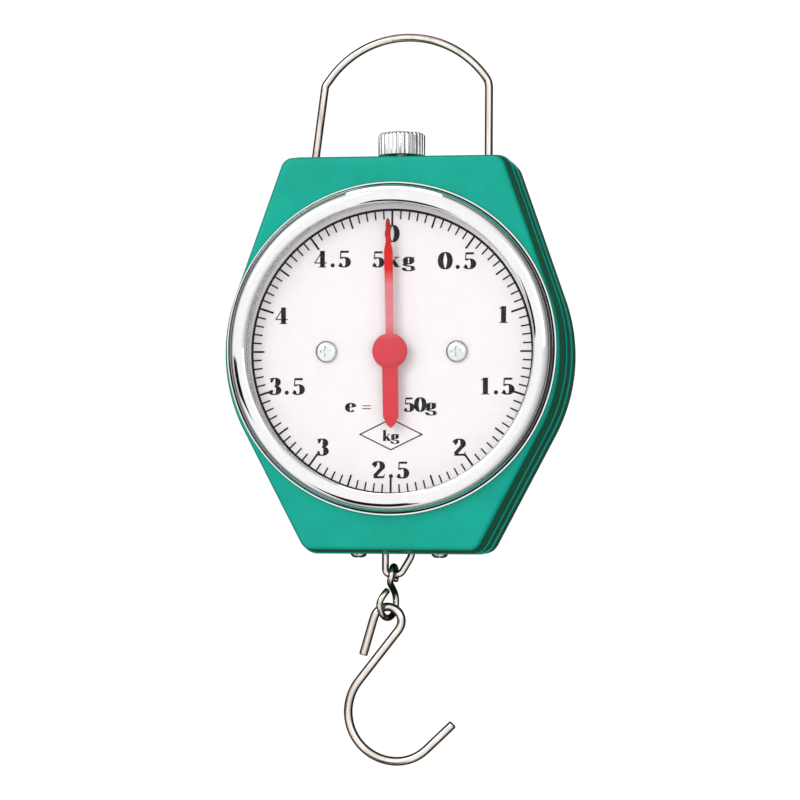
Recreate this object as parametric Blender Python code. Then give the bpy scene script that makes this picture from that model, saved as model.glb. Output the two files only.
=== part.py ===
"""Hanging spring scale with a round dial, built as separate pieces.

The frame's origin is the inner top of the bail, above the dial's centre. +X is to the right, the dial faces
-Y and +Z is up. Depth is measured backwards (+Y) from the dial's face, and height from the dial's centre.
"""

import math

import bmesh
import bpy
from mathutils import Matrix, Vector

MM = 0.001

# The dial's centre in the frame, and the gap that neighbouring pieces keep.
DIAL_Y = -16.0 * MM
DIAL_Z = -97.5 * MM
GAP = 0.3 * MM

# Housing: heights, side lines and depths.
TOP_HEIGHT = 59.8 * MM
BOTTOM_HEIGHT = -60.6 * MM
SIDE_DISTANCE = 51.85 * MM
UPPER_SIDE_TILT = math.radians(19.5)
LOWER_SIDE_TILT = math.radians(27.8)
CORNER_RADIUS = 4.0 * MM
FACE_DEPTH = -1.5 * MM
PARTING_DEPTH = 9.5 * MM
BACK_DEPTH = 34.5 * MM
WALL = 2.0 * MM
REAR_FLOOR = 2.4 * MM
MECHANISM_DEPTH = 16.0 * MM

# Dial, bezel and lens. The bezel sits a little above the dial's printed centre.
BEZEL_LIFT = 0.9 * MM
BEZEL_INNER_RADIUS = 44.3 * MM
COLLAR_INNER_RADIUS = 47.3 * MM
COLLAR_OUTER_RADIUS = 48.9 * MM
DIAL_RADIUS = 46.8 * MM
DIAL_THICKNESS = 0.5 * MM
DIAL_SCREW_X = 20.2 * MM
ROUND_STEPS = 48

# Weighing mechanism. One full load turns the pointer once.
PINION_PITCH_RADIUS = 4.0 * MM
PINION_TEETH = 12
TOOTH_PITCH = 2.0 * math.pi * PINION_PITCH_RADIUS / PINION_TEETH
TOOTH_WIDTH = 0.75 * MM
SPRING_X = 14.5 * MM
SPRING_DEPTH = 18.4 * MM
SPRING_COIL_RADIUS = 4.0 * MM
SPRING_WIRE_RADIUS = 0.45 * MM
SPRING_TURNS = 12
TURN_STEPS = 8
CARRIER_HOOK_HEIGHT = 40.0 * MM
DRAW_BAR_HOOK_HEIGHT = -27.0 * MM
PLATE_FRONT = 17.4 * MM
PLATE_BACK = 19.4 * MM
RACK_RIVET_X = 6.6 * MM
RACK_RIVET_HEIGHTS = (-22.4 * MM, -19.6 * MM)
RACK_FRONT = 14.5 * MM
RACK_BACK = PLATE_FRONT - GAP

# Folded frame and the bridge in front of it.
WEB_FRONT = 27.0 * MM
WEB_BACK = 28.5 * MM
FLANGE_TOP = 56.0 * MM
FLANGE_BOTTOM = -58.3 * MM
FLANGE_THICKNESS = 1.2 * MM
BRIDGE_FRONT = 6.0 * MM
BRIDGE_BACK = 7.2 * MM
PILLAR_X = 21.0 * MM
PILLAR_HEIGHT = 9.5 * MM

# Screws and the bosses that they go into.
REAR_SCREW_PLACES = {
    "top_left": (-28.0 * MM, 46.0 * MM),
    "top_right": (28.0 * MM, 46.0 * MM),
    "bottom_left": (-26.0 * MM, -47.5 * MM),
    "bottom_right": (26.0 * MM, -47.5 * MM),
}
BOSS_RADIUS = 2.8 * MM
BOSS_END = 29.0 * MM
BOTTOM_SCREW_X = 12.7 * MM
SHANK_RADIUS = 1.5 * MM
SCREW_HOLE_RADIUS = 1.8 * MM

# Wires: the bail, the load loop, the link and the hook.
BAIL_WIRE_RADIUS = 1.25 * MM
BAIL_PIVOT_HEIGHT = 51.0 * MM
LOOP_WIRE_RADIUS = 1.1 * MM
LOOP_LEFT_X = -4.3 * MM
LOOP_RIGHT_X = 3.9 * MM
LOOP_LOW_HEIGHT = -67.9 * MM
LINK_WIRE_RADIUS = 1.0 * MM
LINK_TOP_CENTRE = -68.4 * MM
LINK_TOP_RADIUS = 2.9 * MM
LINK_TOP_X = -1.65 * MM
LINK_TOP_TWIST = math.radians(86.0)
LINK_LOW_CENTRE = -76.9 * MM
LINK_LOW_HALF_WIDTH = 4.2 * MM
LINK_LOW_HALF_HEIGHT = 4.6 * MM
LINK_LOW_X = -3.5 * MM
LINK_LOW_TWIST = math.radians(62.0)
HOOK_WIRE_RADIUS = 1.35 * MM


def clear_scene():
    for old in list(bpy.data.objects):
        bpy.data.objects.remove(old, do_unlink=True)


def at(x, depth, height):
    """A point in the frame, from the dial's centre."""
    return Vector((x, DIAL_Y + depth, DIAL_Z + height))


# ---------------------------------------------------------------- materials


def make_material(name, colour, roughness, metallic=0.0, alpha=1.0):
    material = bpy.data.materials.new(name)
    material.use_nodes = True
    material.diffuse_color = (*colour, 1.0)
    shader = material.node_tree.nodes["Principled BSDF"]
    shader.inputs["Base Color"].default_value = (*colour, 1.0)
    shader.inputs["Roughness"].default_value = roughness
    shader.inputs["Metallic"].default_value = metallic
    shader.inputs["Alpha"].default_value = alpha
    return material


FINISHES = {
    "green_plastic": ((0.03, 0.41, 0.31), 0.45, 0.0, 1.0),
    "chrome": ((0.9, 0.9, 0.9), 0.08, 1.0, 1.0),
    "clear_lens": ((0.95, 0.96, 0.97), 0.03, 0.0, 0.12),
    "dial_paint": ((0.87, 0.85, 0.9), 0.35, 0.0, 1.0),
    "white_plastic": ((0.8, 0.8, 0.82), 0.5, 0.0, 1.0),
    "red_paint": ((0.68, 0.02, 0.03), 0.35, 0.0, 1.0),
    "nickel_wire": ((0.62, 0.57, 0.54), 0.25, 1.0, 1.0),
    "bright_steel": ((0.75, 0.75, 0.76), 0.28, 1.0, 1.0),
    "frame_steel": ((0.45, 0.46, 0.47), 0.45, 1.0, 1.0),
    "spring_steel": ((0.35, 0.35, 0.37), 0.3, 1.0, 1.0),
    "brass": ((0.78, 0.58, 0.25), 0.3, 1.0, 1.0),
    "nylon": ((0.82, 0.8, 0.74), 0.6, 0.0, 1.0),
}


def give_material(piece, finish):
    """A material of the piece's own, so that each piece can be recoloured alone."""
    piece.data.materials.clear()
    piece.data.materials.append(make_material(f"{piece.name}_{finish}", *FINISHES[finish]))


# ---------------------------------------------------------------- shapes


def new_object(name, mesh):
    piece = bpy.data.objects.new(name, mesh)
    bpy.context.scene.collection.objects.link(piece)
    return piece


def finish_mesh(name, mesh_builder, smooth_degrees=35.0):
    """Turn a bmesh into an object, with its faces pointing out and its round sides shaded smooth."""
    bmesh.ops.recalc_face_normals(mesh_builder, faces=mesh_builder.faces)
    mesh = bpy.data.meshes.new(name)
    mesh_builder.to_mesh(mesh)
    mesh_builder.free()
    mesh.shade_smooth()
    mesh.set_sharp_from_angle(angle=math.radians(smooth_degrees))
    return new_object(name, mesh)


def bridge(builder, ring_a, ring_b):
    count = len(ring_a)
    for i in range(count):
        j = (i + 1) % count
        builder.faces.new((ring_a[i], ring_a[j], ring_b[j], ring_b[i]))


def loft(name, rings, closed):
    """Skin a row of rings with equal counts of points. The row is closed into a ring of rings, or capped."""
    builder = bmesh.new()
    loops = [[builder.verts.new(point) for point in ring] for ring in rings]
    for first, second in zip(loops, loops[1:]):
        bridge(builder, first, second)
    if closed:
        bridge(builder, loops[-1], loops[0])
    else:
        builder.faces.new(loops[0])
        builder.faces.new(loops[-1])
    return finish_mesh(name, builder)


def turned(name, centre, axis, profile, steps):
    """Turn a profile of (distance along the axis, radius) about the axis, capped where it starts and ends."""
    return loft(name, turned_rings(centre, axis, profile, steps), closed=False)


def turned_ring(name, centre, axis, profile, steps):
    """Turn a closed profile of (distance along the axis, radius), for a piece with a hole through it."""
    return loft(name, turned_rings(centre, axis, profile, steps), closed=True)


def turned_rings(centre, axis, profile, steps):
    axis = Vector(axis).normalized()
    across = axis.orthogonal().normalized()
    rings = []
    for distance, radius in profile:
        middle = centre + axis * distance
        rings.append(
            [
                middle + Matrix.Rotation(2.0 * math.pi * step / steps, 3, axis) @ across * radius
                for step in range(steps)
            ]
        )
    return rings


def plate(name, outline, front, back):
    """A flat plate from an outline of (x, height) points, between two depths."""
    rings = [[at(x, depth, height) for x, height in outline] for depth in (front, back)]
    return loft(name, rings, closed=False)


def box(name, low, high):
    """A box between two corners, each given as (x, depth, height)."""
    outline = [(low[0], low[2]), (high[0], low[2]), (high[0], high[2]), (low[0], high[2])]
    return plate(name, outline, low[1], high[1])


def wire(name, points, radius, sides=8):
    """A round wire along the points, as a bevelled curve with filled ends."""
    curve = bpy.data.curves.new(name, "CURVE")
    curve.dimensions = "3D"
    curve.bevel_depth = radius
    curve.bevel_resolution = sides // 2 - 2
    curve.use_fill_caps = True
    spline = curve.splines.new("POLY")
    spline.points.add(len(points) - 1)
    for spline_point, point in zip(spline.points, points):
        spline_point.co = (*point, 1.0)
    spline.use_smooth = True
    return new_object(name, curve)


def apply_boolean(target, tool, operation):
    """Join or cut the target with the tool, keep the result as the target's mesh, and remove the tool."""
    modifier = target.modifiers.new(operation.title(), "BOOLEAN")
    modifier.operation = operation
    modifier.object = tool
    modifier.solver = "EXACT"
    bpy.context.view_layer.update()
    evaluated = target.evaluated_get(bpy.context.evaluated_depsgraph_get())
    mesh = bpy.data.meshes.new_from_object(evaluated)
    target.modifiers.clear()
    target.data = mesh
    bpy.data.objects.remove(tool, do_unlink=True)


def cut(target, *tools):
    for tool in tools:
        apply_boolean(target, tool, "DIFFERENCE")


def join(target, *tools):
    for tool in tools:
        apply_boolean(target, tool, "UNION")


def arc(centre, radius, start, end, steps):
    """Points (across, up) on an arc in a plane, with its angles in degrees."""
    points = []
    for step in range(steps + 1):
        angle = math.radians(start + (end - start) * step / steps)
        points.append((centre[0] + radius * math.cos(angle), centre[1] + radius * math.sin(angle)))
    return points


def rounded_polygon(corners, edge_steps):
    """An outline through corners of (x, height, radius, arc steps), with its straight edges divided."""
    outline = []
    count = len(corners)
    for i, (x, height, radius, steps) in enumerate(corners):
        here = Vector((x, height))
        before = (Vector(corners[i - 1][:2]) - here).normalized()
        after = (Vector(corners[(i + 1) % count][:2]) - here).normalized()
        half = before.angle(after) / 2.0
        centre = here + (before + after).normalized() * radius / math.sin(half)
        start = here + before * radius / math.tan(half)
        end = here + after * radius / math.tan(half)
        sweep = (start - centre).angle_signed(end - centre)
        if outline:
            last = Vector(outline[-1])
            outline += [tuple(last.lerp(start, step / edge_steps)) for step in range(1, edge_steps)]
        for step in range(steps + 1):
            turn = Matrix.Rotation(-sweep * step / steps, 2)
            outline.append(tuple(centre + turn @ (start - centre)))
    last = Vector(outline[-1])
    first = Vector(outline[0])
    outline += [tuple(last.lerp(first, step / edge_steps)) for step in range(1, edge_steps)]
    return outline


# ---------------------------------------------------------------- housing


def housing_outline(offset, waist_radius):
    """The housing's outline, moved out by an offset: six straight sides with rounded corners."""
    distance = SIDE_DISTANCE + offset
    top = TOP_HEIGHT + offset
    bottom = BOTTOM_HEIGHT - offset
    upper_cos, upper_sin = math.cos(UPPER_SIDE_TILT), math.sin(UPPER_SIDE_TILT)
    lower_cos, lower_sin = math.cos(LOWER_SIDE_TILT), math.sin(LOWER_SIDE_TILT)
    top_x = (distance - top * upper_sin) / upper_cos
    bottom_x = (distance + bottom * lower_sin) / lower_cos
    waist_z = distance * (lower_cos - upper_cos) / math.sin(UPPER_SIDE_TILT + LOWER_SIDE_TILT)
    waist_x = (distance - waist_z * upper_sin) / upper_cos
    corner = max(CORNER_RADIUS + offset, 1.5 * MM)
    right = [
        (bottom_x, bottom, corner, 3),
        (waist_x, waist_z, waist_radius, 6),
        (top_x, top, corner, 3),
    ]
    left = [(-x, height, radius, steps) for x, height, radius, steps in reversed(right)]
    return rounded_polygon(right + left, edge_steps=4)


def outline_ring(offset, depth, waist_radius=51.85 * MM):
    return [at(x, depth, height) for x, height in housing_outline(offset, waist_radius + offset)]


def opening_ring(radius, depth):
    """A circle about the bezel's centre, whose points face those of the housing's outline."""
    ring = []
    for x, height in housing_outline(0.0, SIDE_DISTANCE):
        angle = math.atan2(height - BEZEL_LIFT, x)
        ring.append(at(radius * math.cos(angle), depth, BEZEL_LIFT + radius * math.sin(angle)))
    return ring


def make_front_cover():
    """Open-backed front shell: a flat face with a round opening and a collar, and drafted sides with a lip."""
    collar_front = -4.8 * MM
    face_back = FACE_DEPTH + WALL
    rings = [
        outline_ring(-1.6 * MM, FACE_DEPTH),
        outline_ring(-0.75 * MM, FACE_DEPTH + 0.2 * MM),
        outline_ring(-0.2 * MM, FACE_DEPTH + 0.75 * MM),
        outline_ring(0.0, FACE_DEPTH + 1.6 * MM),
        outline_ring(0.75 * MM, PARTING_DEPTH - 1.2 * MM),
        outline_ring(1.15 * MM, PARTING_DEPTH - 0.9 * MM),
        outline_ring(1.15 * MM, PARTING_DEPTH),
        outline_ring(-1.2 * MM, PARTING_DEPTH),
        outline_ring(-2.0 * MM, face_back),
        opening_ring(COLLAR_INNER_RADIUS, face_back),
        opening_ring(COLLAR_INNER_RADIUS, collar_front),
        opening_ring(COLLAR_OUTER_RADIUS, collar_front),
        opening_ring(COLLAR_OUTER_RADIUS, FACE_DEPTH),
    ]
    cover = loft("front_cover", rings, closed=True)
    for x, height in REAR_SCREW_PLACES.values():
        face_side = at(x, face_back - 0.5 * MM, height)
        length = BOSS_END - (face_back - 0.5 * MM)
        join(cover, turned("boss", face_side, (0, 1, 0), [(0, BOSS_RADIUS), (length, BOSS_RADIUS)], 12))
        pilot = [(length - 12.0 * MM, SCREW_HOLE_RADIUS), (length + 1.0 * MM, SCREW_HOLE_RADIUS)]
        cut(cover, turned("pilot_hole", face_side, (0, 1, 0), pilot, 10))
    give_material(cover, "green_plastic")
    return cover


def make_rear_cover():
    """Rear shell: a deep tray with a stepped side, screw recesses in its back, and slots in its walls."""
    start = PARTING_DEPTH + GAP
    step_depth = 22.0 * MM
    floor_depth = BACK_DEPTH - REAR_FLOOR
    rings = [
        outline_ring(-3.0 * MM, floor_depth),
        outline_ring(-1.6 * MM, floor_depth - 1.2 * MM),
        outline_ring(-1.2 * MM, start),
        outline_ring(0.75 * MM, start),
        outline_ring(0.55 * MM, step_depth),
        outline_ring(1.15 * MM, step_depth + 0.3 * MM),
        outline_ring(0.9 * MM, BACK_DEPTH - 3.0 * MM),
        outline_ring(0.2 * MM, BACK_DEPTH - 1.0 * MM),
        outline_ring(-1.8 * MM, BACK_DEPTH),
    ]
    cover = loft("rear_cover", rings, closed=False)
    for x, height in REAR_SCREW_PLACES.values():
        back = at(x, BACK_DEPTH, height)
        pad = [(REAR_FLOOR - 0.5 * MM, 4.6 * MM), (BACK_DEPTH - BOSS_END - GAP, 4.6 * MM)]
        join(cover, turned("pad", back, (0, -1, 0), pad, 14))
        recess = [
            (-1.0 * MM, 3.3 * MM),
            (2.6 * MM, 3.3 * MM),
            (2.6 * MM, SCREW_HOLE_RADIUS),
            (7.0 * MM, SCREW_HOLE_RADIUS),
        ]
        cut(cover, turned("recess", back, (0, -1, 0), recess, 14))
    slot_low, slot_high = 56.0 * MM, 64.0 * MM
    for x in (-27.15 * MM, 27.3 * MM):
        low = (x - 1.9 * MM, MECHANISM_DEPTH - 3.6 * MM, slot_low)
        high = (x + 1.9 * MM, MECHANISM_DEPTH + 3.6 * MM, slot_high)
        cut(cover, box("bail_slot", low, high))
    spindle_hole = [(slot_low, 2.6 * MM), (slot_high, 2.6 * MM)]
    cut(cover, turned("spindle_hole", at(0, MECHANISM_DEPTH, 0), (0, 0, 1), spindle_hole, 14))
    loop_low, loop_high = (-7.0 * MM, 13.0 * MM, -64.0 * MM), (7.0 * MM, 19.0 * MM, -56.0 * MM)
    cut(cover, box("loop_slot", loop_low, loop_high))
    for x in (-BOTTOM_SCREW_X, BOTTOM_SCREW_X):
        hole = [(-64.0 * MM, SCREW_HOLE_RADIUS), (-56.0 * MM, SCREW_HOLE_RADIUS)]
        cut(cover, turned("bottom_hole", at(x, MECHANISM_DEPTH, 0), (0, 0, 1), hole, 10))
    give_material(cover, "green_plastic")
    return cover


def make_bezel():
    """Rolled chrome ring that clips over the front cover's collar, with a thin flange at its foot."""
    profile = [
        (-5.2, 44.3),
        (-5.8, 44.35),
        (-6.35, 45.2),
        (-6.55, 46.6),
        (-6.1, 48.2),
        (-5.0, 49.4),
        (-3.6, 50.0),
        (-2.5, 50.0),
        (-2.35, 51.0),
        (-1.8, 51.0),
        (-1.8, 49.3),
        (-5.2, 49.3),
    ]
    profile = [(depth * MM, radius * MM) for depth, radius in profile]
    ring = turned_ring("bezel_ring", at(0, 0, BEZEL_LIFT), (0, 1, 0), profile, ROUND_STEPS)
    give_material(ring, "chrome")
    return ring


def make_lens():
    radius = COLLAR_INNER_RADIUS - 0.4 * MM
    profile = [(-4.9 * MM, radius), (-3.9 * MM, radius)]
    lens = turned("dial_lens", at(0, 0, BEZEL_LIFT), (0, 1, 0), profile, ROUND_STEPS)
    give_material(lens, "clear_lens")
    return lens


def make_lens_spacer():
    """White ring between the dial's edge and the lens."""
    outer = COLLAR_INNER_RADIUS - 0.4 * MM
    inner = BEZEL_INNER_RADIUS + 0.1 * MM
    profile = [(-3.6 * MM, inner), (-3.6 * MM, outer), (-GAP, outer), (-GAP, inner)]
    ring = turned_ring("lens_spacer_ring", at(0, 0, BEZEL_LIFT), (0, 1, 0), profile, ROUND_STEPS)
    give_material(ring, "white_plastic")
    return ring


# ---------------------------------------------------------------- dial and pointer


def make_dial():
    profile = [(0, DIAL_RADIUS), (DIAL_THICKNESS, DIAL_RADIUS)]
    dial = turned("dial_plate", at(0, 0, BEZEL_LIFT), (0, 1, 0), profile, ROUND_STEPS)
    hole = [(-1.0 * MM, 2.0 * MM), (2.0 * MM, 2.0 * MM)]
    cut(dial, turned("arbor_hole", at(0, 0, 0), (0, 1, 0), hole, 12))
    for x in (-DIAL_SCREW_X, DIAL_SCREW_X):
        screw_hole = [(-1.0 * MM, SCREW_HOLE_RADIUS), (2.0 * MM, SCREW_HOLE_RADIUS)]
        cut(dial, turned("screw_hole", at(x, 0, 0), (0, 1, 0), screw_hole, 10))
    give_material(dial, "dial_paint")
    return dial


def make_pointer():
    """Flat pointer with a round hub and a counterweight tail, a little short of zero at rest."""
    half_outline = [
        (0.0, 40.6),
        (0.55, 39.6),
        (0.6, 32.0),
        (1.25, 31.0),
        (1.35, 5.3),
        (3.6, 4.15),
        (5.0, 2.3),
        (5.5, 0.0),
        (5.0, -2.3),
        (3.6, -4.15),
        (2.35, -5.0),
        (2.35, -20.0),
        (1.1, -22.4),
    ]
    outline = half_outline + [(0.0, -23.4)] + [(-x, height) for x, height in reversed(half_outline[1:])]
    turn = Matrix.Rotation(math.radians(1.2), 2)
    outline = [tuple(turn @ Vector((x * MM, height * MM))) for x, height in outline]
    pointer = plate("pointer", outline, -3.2 * MM, -2.2 * MM)
    hub = [(-3.6 * MM, 4.6 * MM), (-3.3 * MM, 5.2 * MM), (-2.0 * MM, 5.2 * MM), (-1.5 * MM, 3.0 * MM)]
    join(pointer, turned("hub", at(0, 0, 0), (0, 1, 0), hub, 16))
    bore = [(-3.1 * MM, 1.3 * MM), (0.0, 1.3 * MM)]
    cut(pointer, turned("hub_bore", at(0, 0, 0), (0, 1, 0), bore, 12))
    give_material(pointer, "red_paint")
    return pointer


def make_arbor():
    """Steel arbor through the whole mechanism, with shoulders inside its two bushes."""
    profile = [
        (-2.8, 1.0),
        (8.8, 1.0),
        (8.8, 1.9),
        (9.8, 1.9),
        (9.8, 1.0),
        (24.6, 1.0),
        (24.6, 1.9),
        (25.6, 1.9),
        (25.6, 1.0),
        (30.2, 1.0),
    ]
    profile = [(depth * MM, radius * MM) for depth, radius in profile]
    arbor = turned("pointer_arbor", at(0, 0, 0), (0, 1, 0), profile, 12)
    give_material(arbor, "bright_steel")
    return arbor


def make_bush(name, front, back, flange_front, flange_back):
    profile = [
        (front, 1.3 * MM),
        (front, 2.5 * MM),
        (flange_front, 2.5 * MM),
        (flange_front, 3.6 * MM),
        (flange_back, 3.6 * MM),
        (flange_back, 2.5 * MM),
        (back, 2.5 * MM),
        (back, 1.3 * MM),
    ]
    bush = turned_ring(name, at(0, 0, 0), (0, 1, 0), profile, 12)
    give_material(bush, "brass")
    return bush


def make_pinion():
    """Brass pinion with straight-flanked teeth, one of them pointing at the rack."""
    root, tip = 3.3 * MM, 4.4 * MM
    half_root = 0.75 * TOOTH_WIDTH / root
    half_tip = 0.32 * TOOTH_WIDTH / tip
    outline = []
    for tooth in range(PINION_TEETH):
        middle = 2.0 * math.pi * tooth / PINION_TEETH
        corners = [(root, -half_root), (tip, -half_tip), (tip, half_tip), (root, half_root)]
        for radius, offset in corners:
            angle = middle + offset
            outline.append((radius * math.cos(angle), radius * math.sin(angle)))
    pinion = plate("drive_pinion", outline, 14.3 * MM, 17.3 * MM)
    bore = [(13.0 * MM, 1.3 * MM), (19.0 * MM, 1.3 * MM)]
    cut(pinion, turned("pinion_bore", at(0, 0, 0), (0, 1, 0), bore, 12))
    give_material(pinion, "brass")
    return pinion


# ---------------------------------------------------------------- screws


def cross_tool(centre, axis, depth):
    """A cross-shaped cutter for a screw head's recess, along one of the frame's axes."""
    axis = Vector(axis)
    across = Vector((1, 0, 0))
    other = axis.cross(across)
    half_length, half_width = 1.55 * MM, 0.38 * MM
    corners = [
        (half_width, half_width),
        (half_width, half_length),
        (-half_width, half_length),
        (-half_width, half_width),
        (-half_length, half_width),
        (-half_length, -half_width),
        (-half_width, -half_width),
        (-half_width, -half_length),
        (half_width, -half_length),
        (half_width, -half_width),
        (half_length, -half_width),
        (half_length, half_width),
    ]
    rings = []
    for distance in (-depth, 1.0 * MM):
        rings.append([centre + axis * distance + across * a + other * b for a, b in corners])
    return loft("cross_recess", rings, closed=False)


def make_screw(name, head_base, axis, head_radius, head_height, shank_length):
    """Pan-head screw with a cross recess. The axis points out of the head, and head_base is its underside."""
    profile = [
        (-shank_length, SHANK_RADIUS),
        (0.0, SHANK_RADIUS),
        (0.0, head_radius),
        (head_height * 0.5, head_radius * 0.95),
        (head_height, head_radius * 0.65),
    ]
    screw = turned(name, head_base, axis, profile, 12)
    cut(screw, cross_tool(head_base + Vector(axis) * head_height, axis, head_height * 0.6))
    give_material(screw, "bright_steel")
    return screw


def make_screws():
    for side, x in (("left", -DIAL_SCREW_X), ("right", DIAL_SCREW_X)):
        make_screw(
            f"dial_screw_{side}",
            at(x, -GAP, 0),
            (0, -1, 0),
            head_radius=3.3 * MM,
            head_height=1.3 * MM,
            shank_length=9.6 * MM,
        )
    for side, x in (("left", -BOTTOM_SCREW_X), ("right", BOTTOM_SCREW_X)):
        make_screw(
            f"bottom_screw_{side}",
            at(x, MECHANISM_DEPTH, BOTTOM_HEIGHT - 0.6 * MM - GAP),
            (0, 0, -1),
            head_radius=2.6 * MM,
            head_height=1.4 * MM,
            shank_length=6.5 * MM,
        )
    for place, (x, height) in REAR_SCREW_PLACES.items():
        make_screw(
            f"rear_screw_{place}",
            at(x, BACK_DEPTH - 2.3 * MM, height),
            (0, 1, 0),
            head_radius=2.9 * MM,
            head_height=1.6 * MM,
            shank_length=12.0 * MM,
        )


# ---------------------------------------------------------------- frame


def make_main_frame():
    """Folded steel frame: a tall web, flanges at its top and bottom, and two ears for the bail's feet."""
    web_x = 23.4 * MM
    neck_x = 19.0 * MM
    frame = box("main_frame", (-neck_x, WEB_FRONT, FLANGE_BOTTOM), (neck_x, WEB_BACK, FLANGE_TOP))
    cross_low = (-web_x, WEB_FRONT + 0.01 * MM, -13.0 * MM)
    join(frame, box("cross_web", cross_low, (web_x, WEB_BACK - 0.01 * MM, 13.0 * MM)))
    flange_x = 24.6 * MM
    top_low = (-flange_x, 7.0 * MM, FLANGE_TOP - FLANGE_THICKNESS)
    join(frame, box("top_flange", top_low, (flange_x, WEB_BACK - 0.02 * MM, FLANGE_TOP + 0.01 * MM)))
    bottom_high = (18.0 * MM, WEB_BACK - 0.02 * MM, FLANGE_BOTTOM + FLANGE_THICKNESS)
    join(frame, box("bottom_flange", (-18.0 * MM, 7.0 * MM, FLANGE_BOTTOM - 0.01 * MM), bottom_high))
    for side in (-1, 1):
        inner, outer = sorted((side * (flange_x - 1.2 * MM), side * (flange_x - 0.01 * MM)))
        ear_low = (inner, MECHANISM_DEPTH - 4.5 * MM, BAIL_PIVOT_HEIGHT - 4.0 * MM)
        ear_high = (outer, MECHANISM_DEPTH + 4.5 * MM, FLANGE_TOP - 0.1 * MM)
        join(frame, box("ear", ear_low, ear_high))
        ear_hole = [(side * 20.0 * MM, 1.6 * MM), (side * 27.0 * MM, 1.6 * MM)]
        cut(frame, turned("foot_hole", at(0, MECHANISM_DEPTH, BAIL_PIVOT_HEIGHT), (1, 0, 0), ear_hole, 14))
    spindle_hole = [(50.0 * MM, 2.3 * MM), (60.0 * MM, 2.3 * MM)]
    cut(frame, turned("spindle_hole", at(0, MECHANISM_DEPTH, 0), (0, 0, 1), spindle_hole, 14))
    bush_hole = [(20.0 * MM, 2.8 * MM), (32.0 * MM, 2.8 * MM)]
    cut(frame, turned("bush_hole", at(0, 0, 0), (0, 1, 0), bush_hole, 14))
    cut(frame, box("loop_slot", (-7.0 * MM, 13.0 * MM, -62.0 * MM), (7.0 * MM, 21.5 * MM, -54.0 * MM)))
    for x in (-BOTTOM_SCREW_X, BOTTOM_SCREW_X):
        screw_hole = [(-62.0 * MM, SCREW_HOLE_RADIUS), (-54.0 * MM, SCREW_HOLE_RADIUS)]
        cut(frame, turned("screw_hole", at(x, MECHANISM_DEPTH, 0), (0, 0, 1), screw_hole, 10))
    give_material(frame, "frame_steel")
    return frame


def make_front_bridge():
    """Plate in front of the mechanism that carries the dial and the arbor's front bush."""
    outline = [(23.4, -12.5), (23.4, 12.5), (8.0, 12.5), (5.0, 6.0), (-5.0, 6.0), (-8.0, 12.5)]
    outline += [(-x, -height) for x, height in outline]
    outline = [(x * MM, height * MM) for x, height in dict.fromkeys(outline)]
    bridge_plate = plate("front_bridge", outline, BRIDGE_FRONT, BRIDGE_BACK)
    bush_hole = [(5.0 * MM, 2.8 * MM), (9.0 * MM, 2.8 * MM)]
    cut(bridge_plate, turned("bush_hole", at(0, 0, 0), (0, 1, 0), bush_hole, 14))
    for x in (-DIAL_SCREW_X, DIAL_SCREW_X):
        screw_hole = [(5.0 * MM, SCREW_HOLE_RADIUS), (9.0 * MM, SCREW_HOLE_RADIUS)]
        cut(bridge_plate, turned("screw_hole", at(x, 0, 0), (0, 1, 0), screw_hole, 10))
    give_material(bridge_plate, "frame_steel")
    return bridge_plate


def make_pillars_and_spacers():
    corners = {
        "top_left": (-1, 1),
        "top_right": (1, 1),
        "bottom_left": (-1, -1),
        "bottom_right": (1, -1),
    }
    for name, (side, level) in corners.items():
        profile = [(BRIDGE_BACK + GAP, 1.9 * MM), (WEB_FRONT - GAP, 1.9 * MM)]
        place = at(side * PILLAR_X, 0, level * PILLAR_HEIGHT)
        give_material(turned(f"frame_pillar_{name}", place, (0, 1, 0), profile, 12), "bright_steel")
    for name, side in (("left", -1), ("right", 1)):
        front, back = DIAL_THICKNESS + GAP, BRIDGE_FRONT - GAP
        inner, outer = SCREW_HOLE_RADIUS, 3.2 * MM
        profile = [(front, inner), (front, outer), (back, outer), (back, inner)]
        spacer = turned_ring(f"dial_spacer_{name}", at(side * DIAL_SCREW_X, 0, 0), (0, 1, 0), profile, 14)
        give_material(spacer, "brass")


# ---------------------------------------------------------------- zero adjuster


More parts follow.
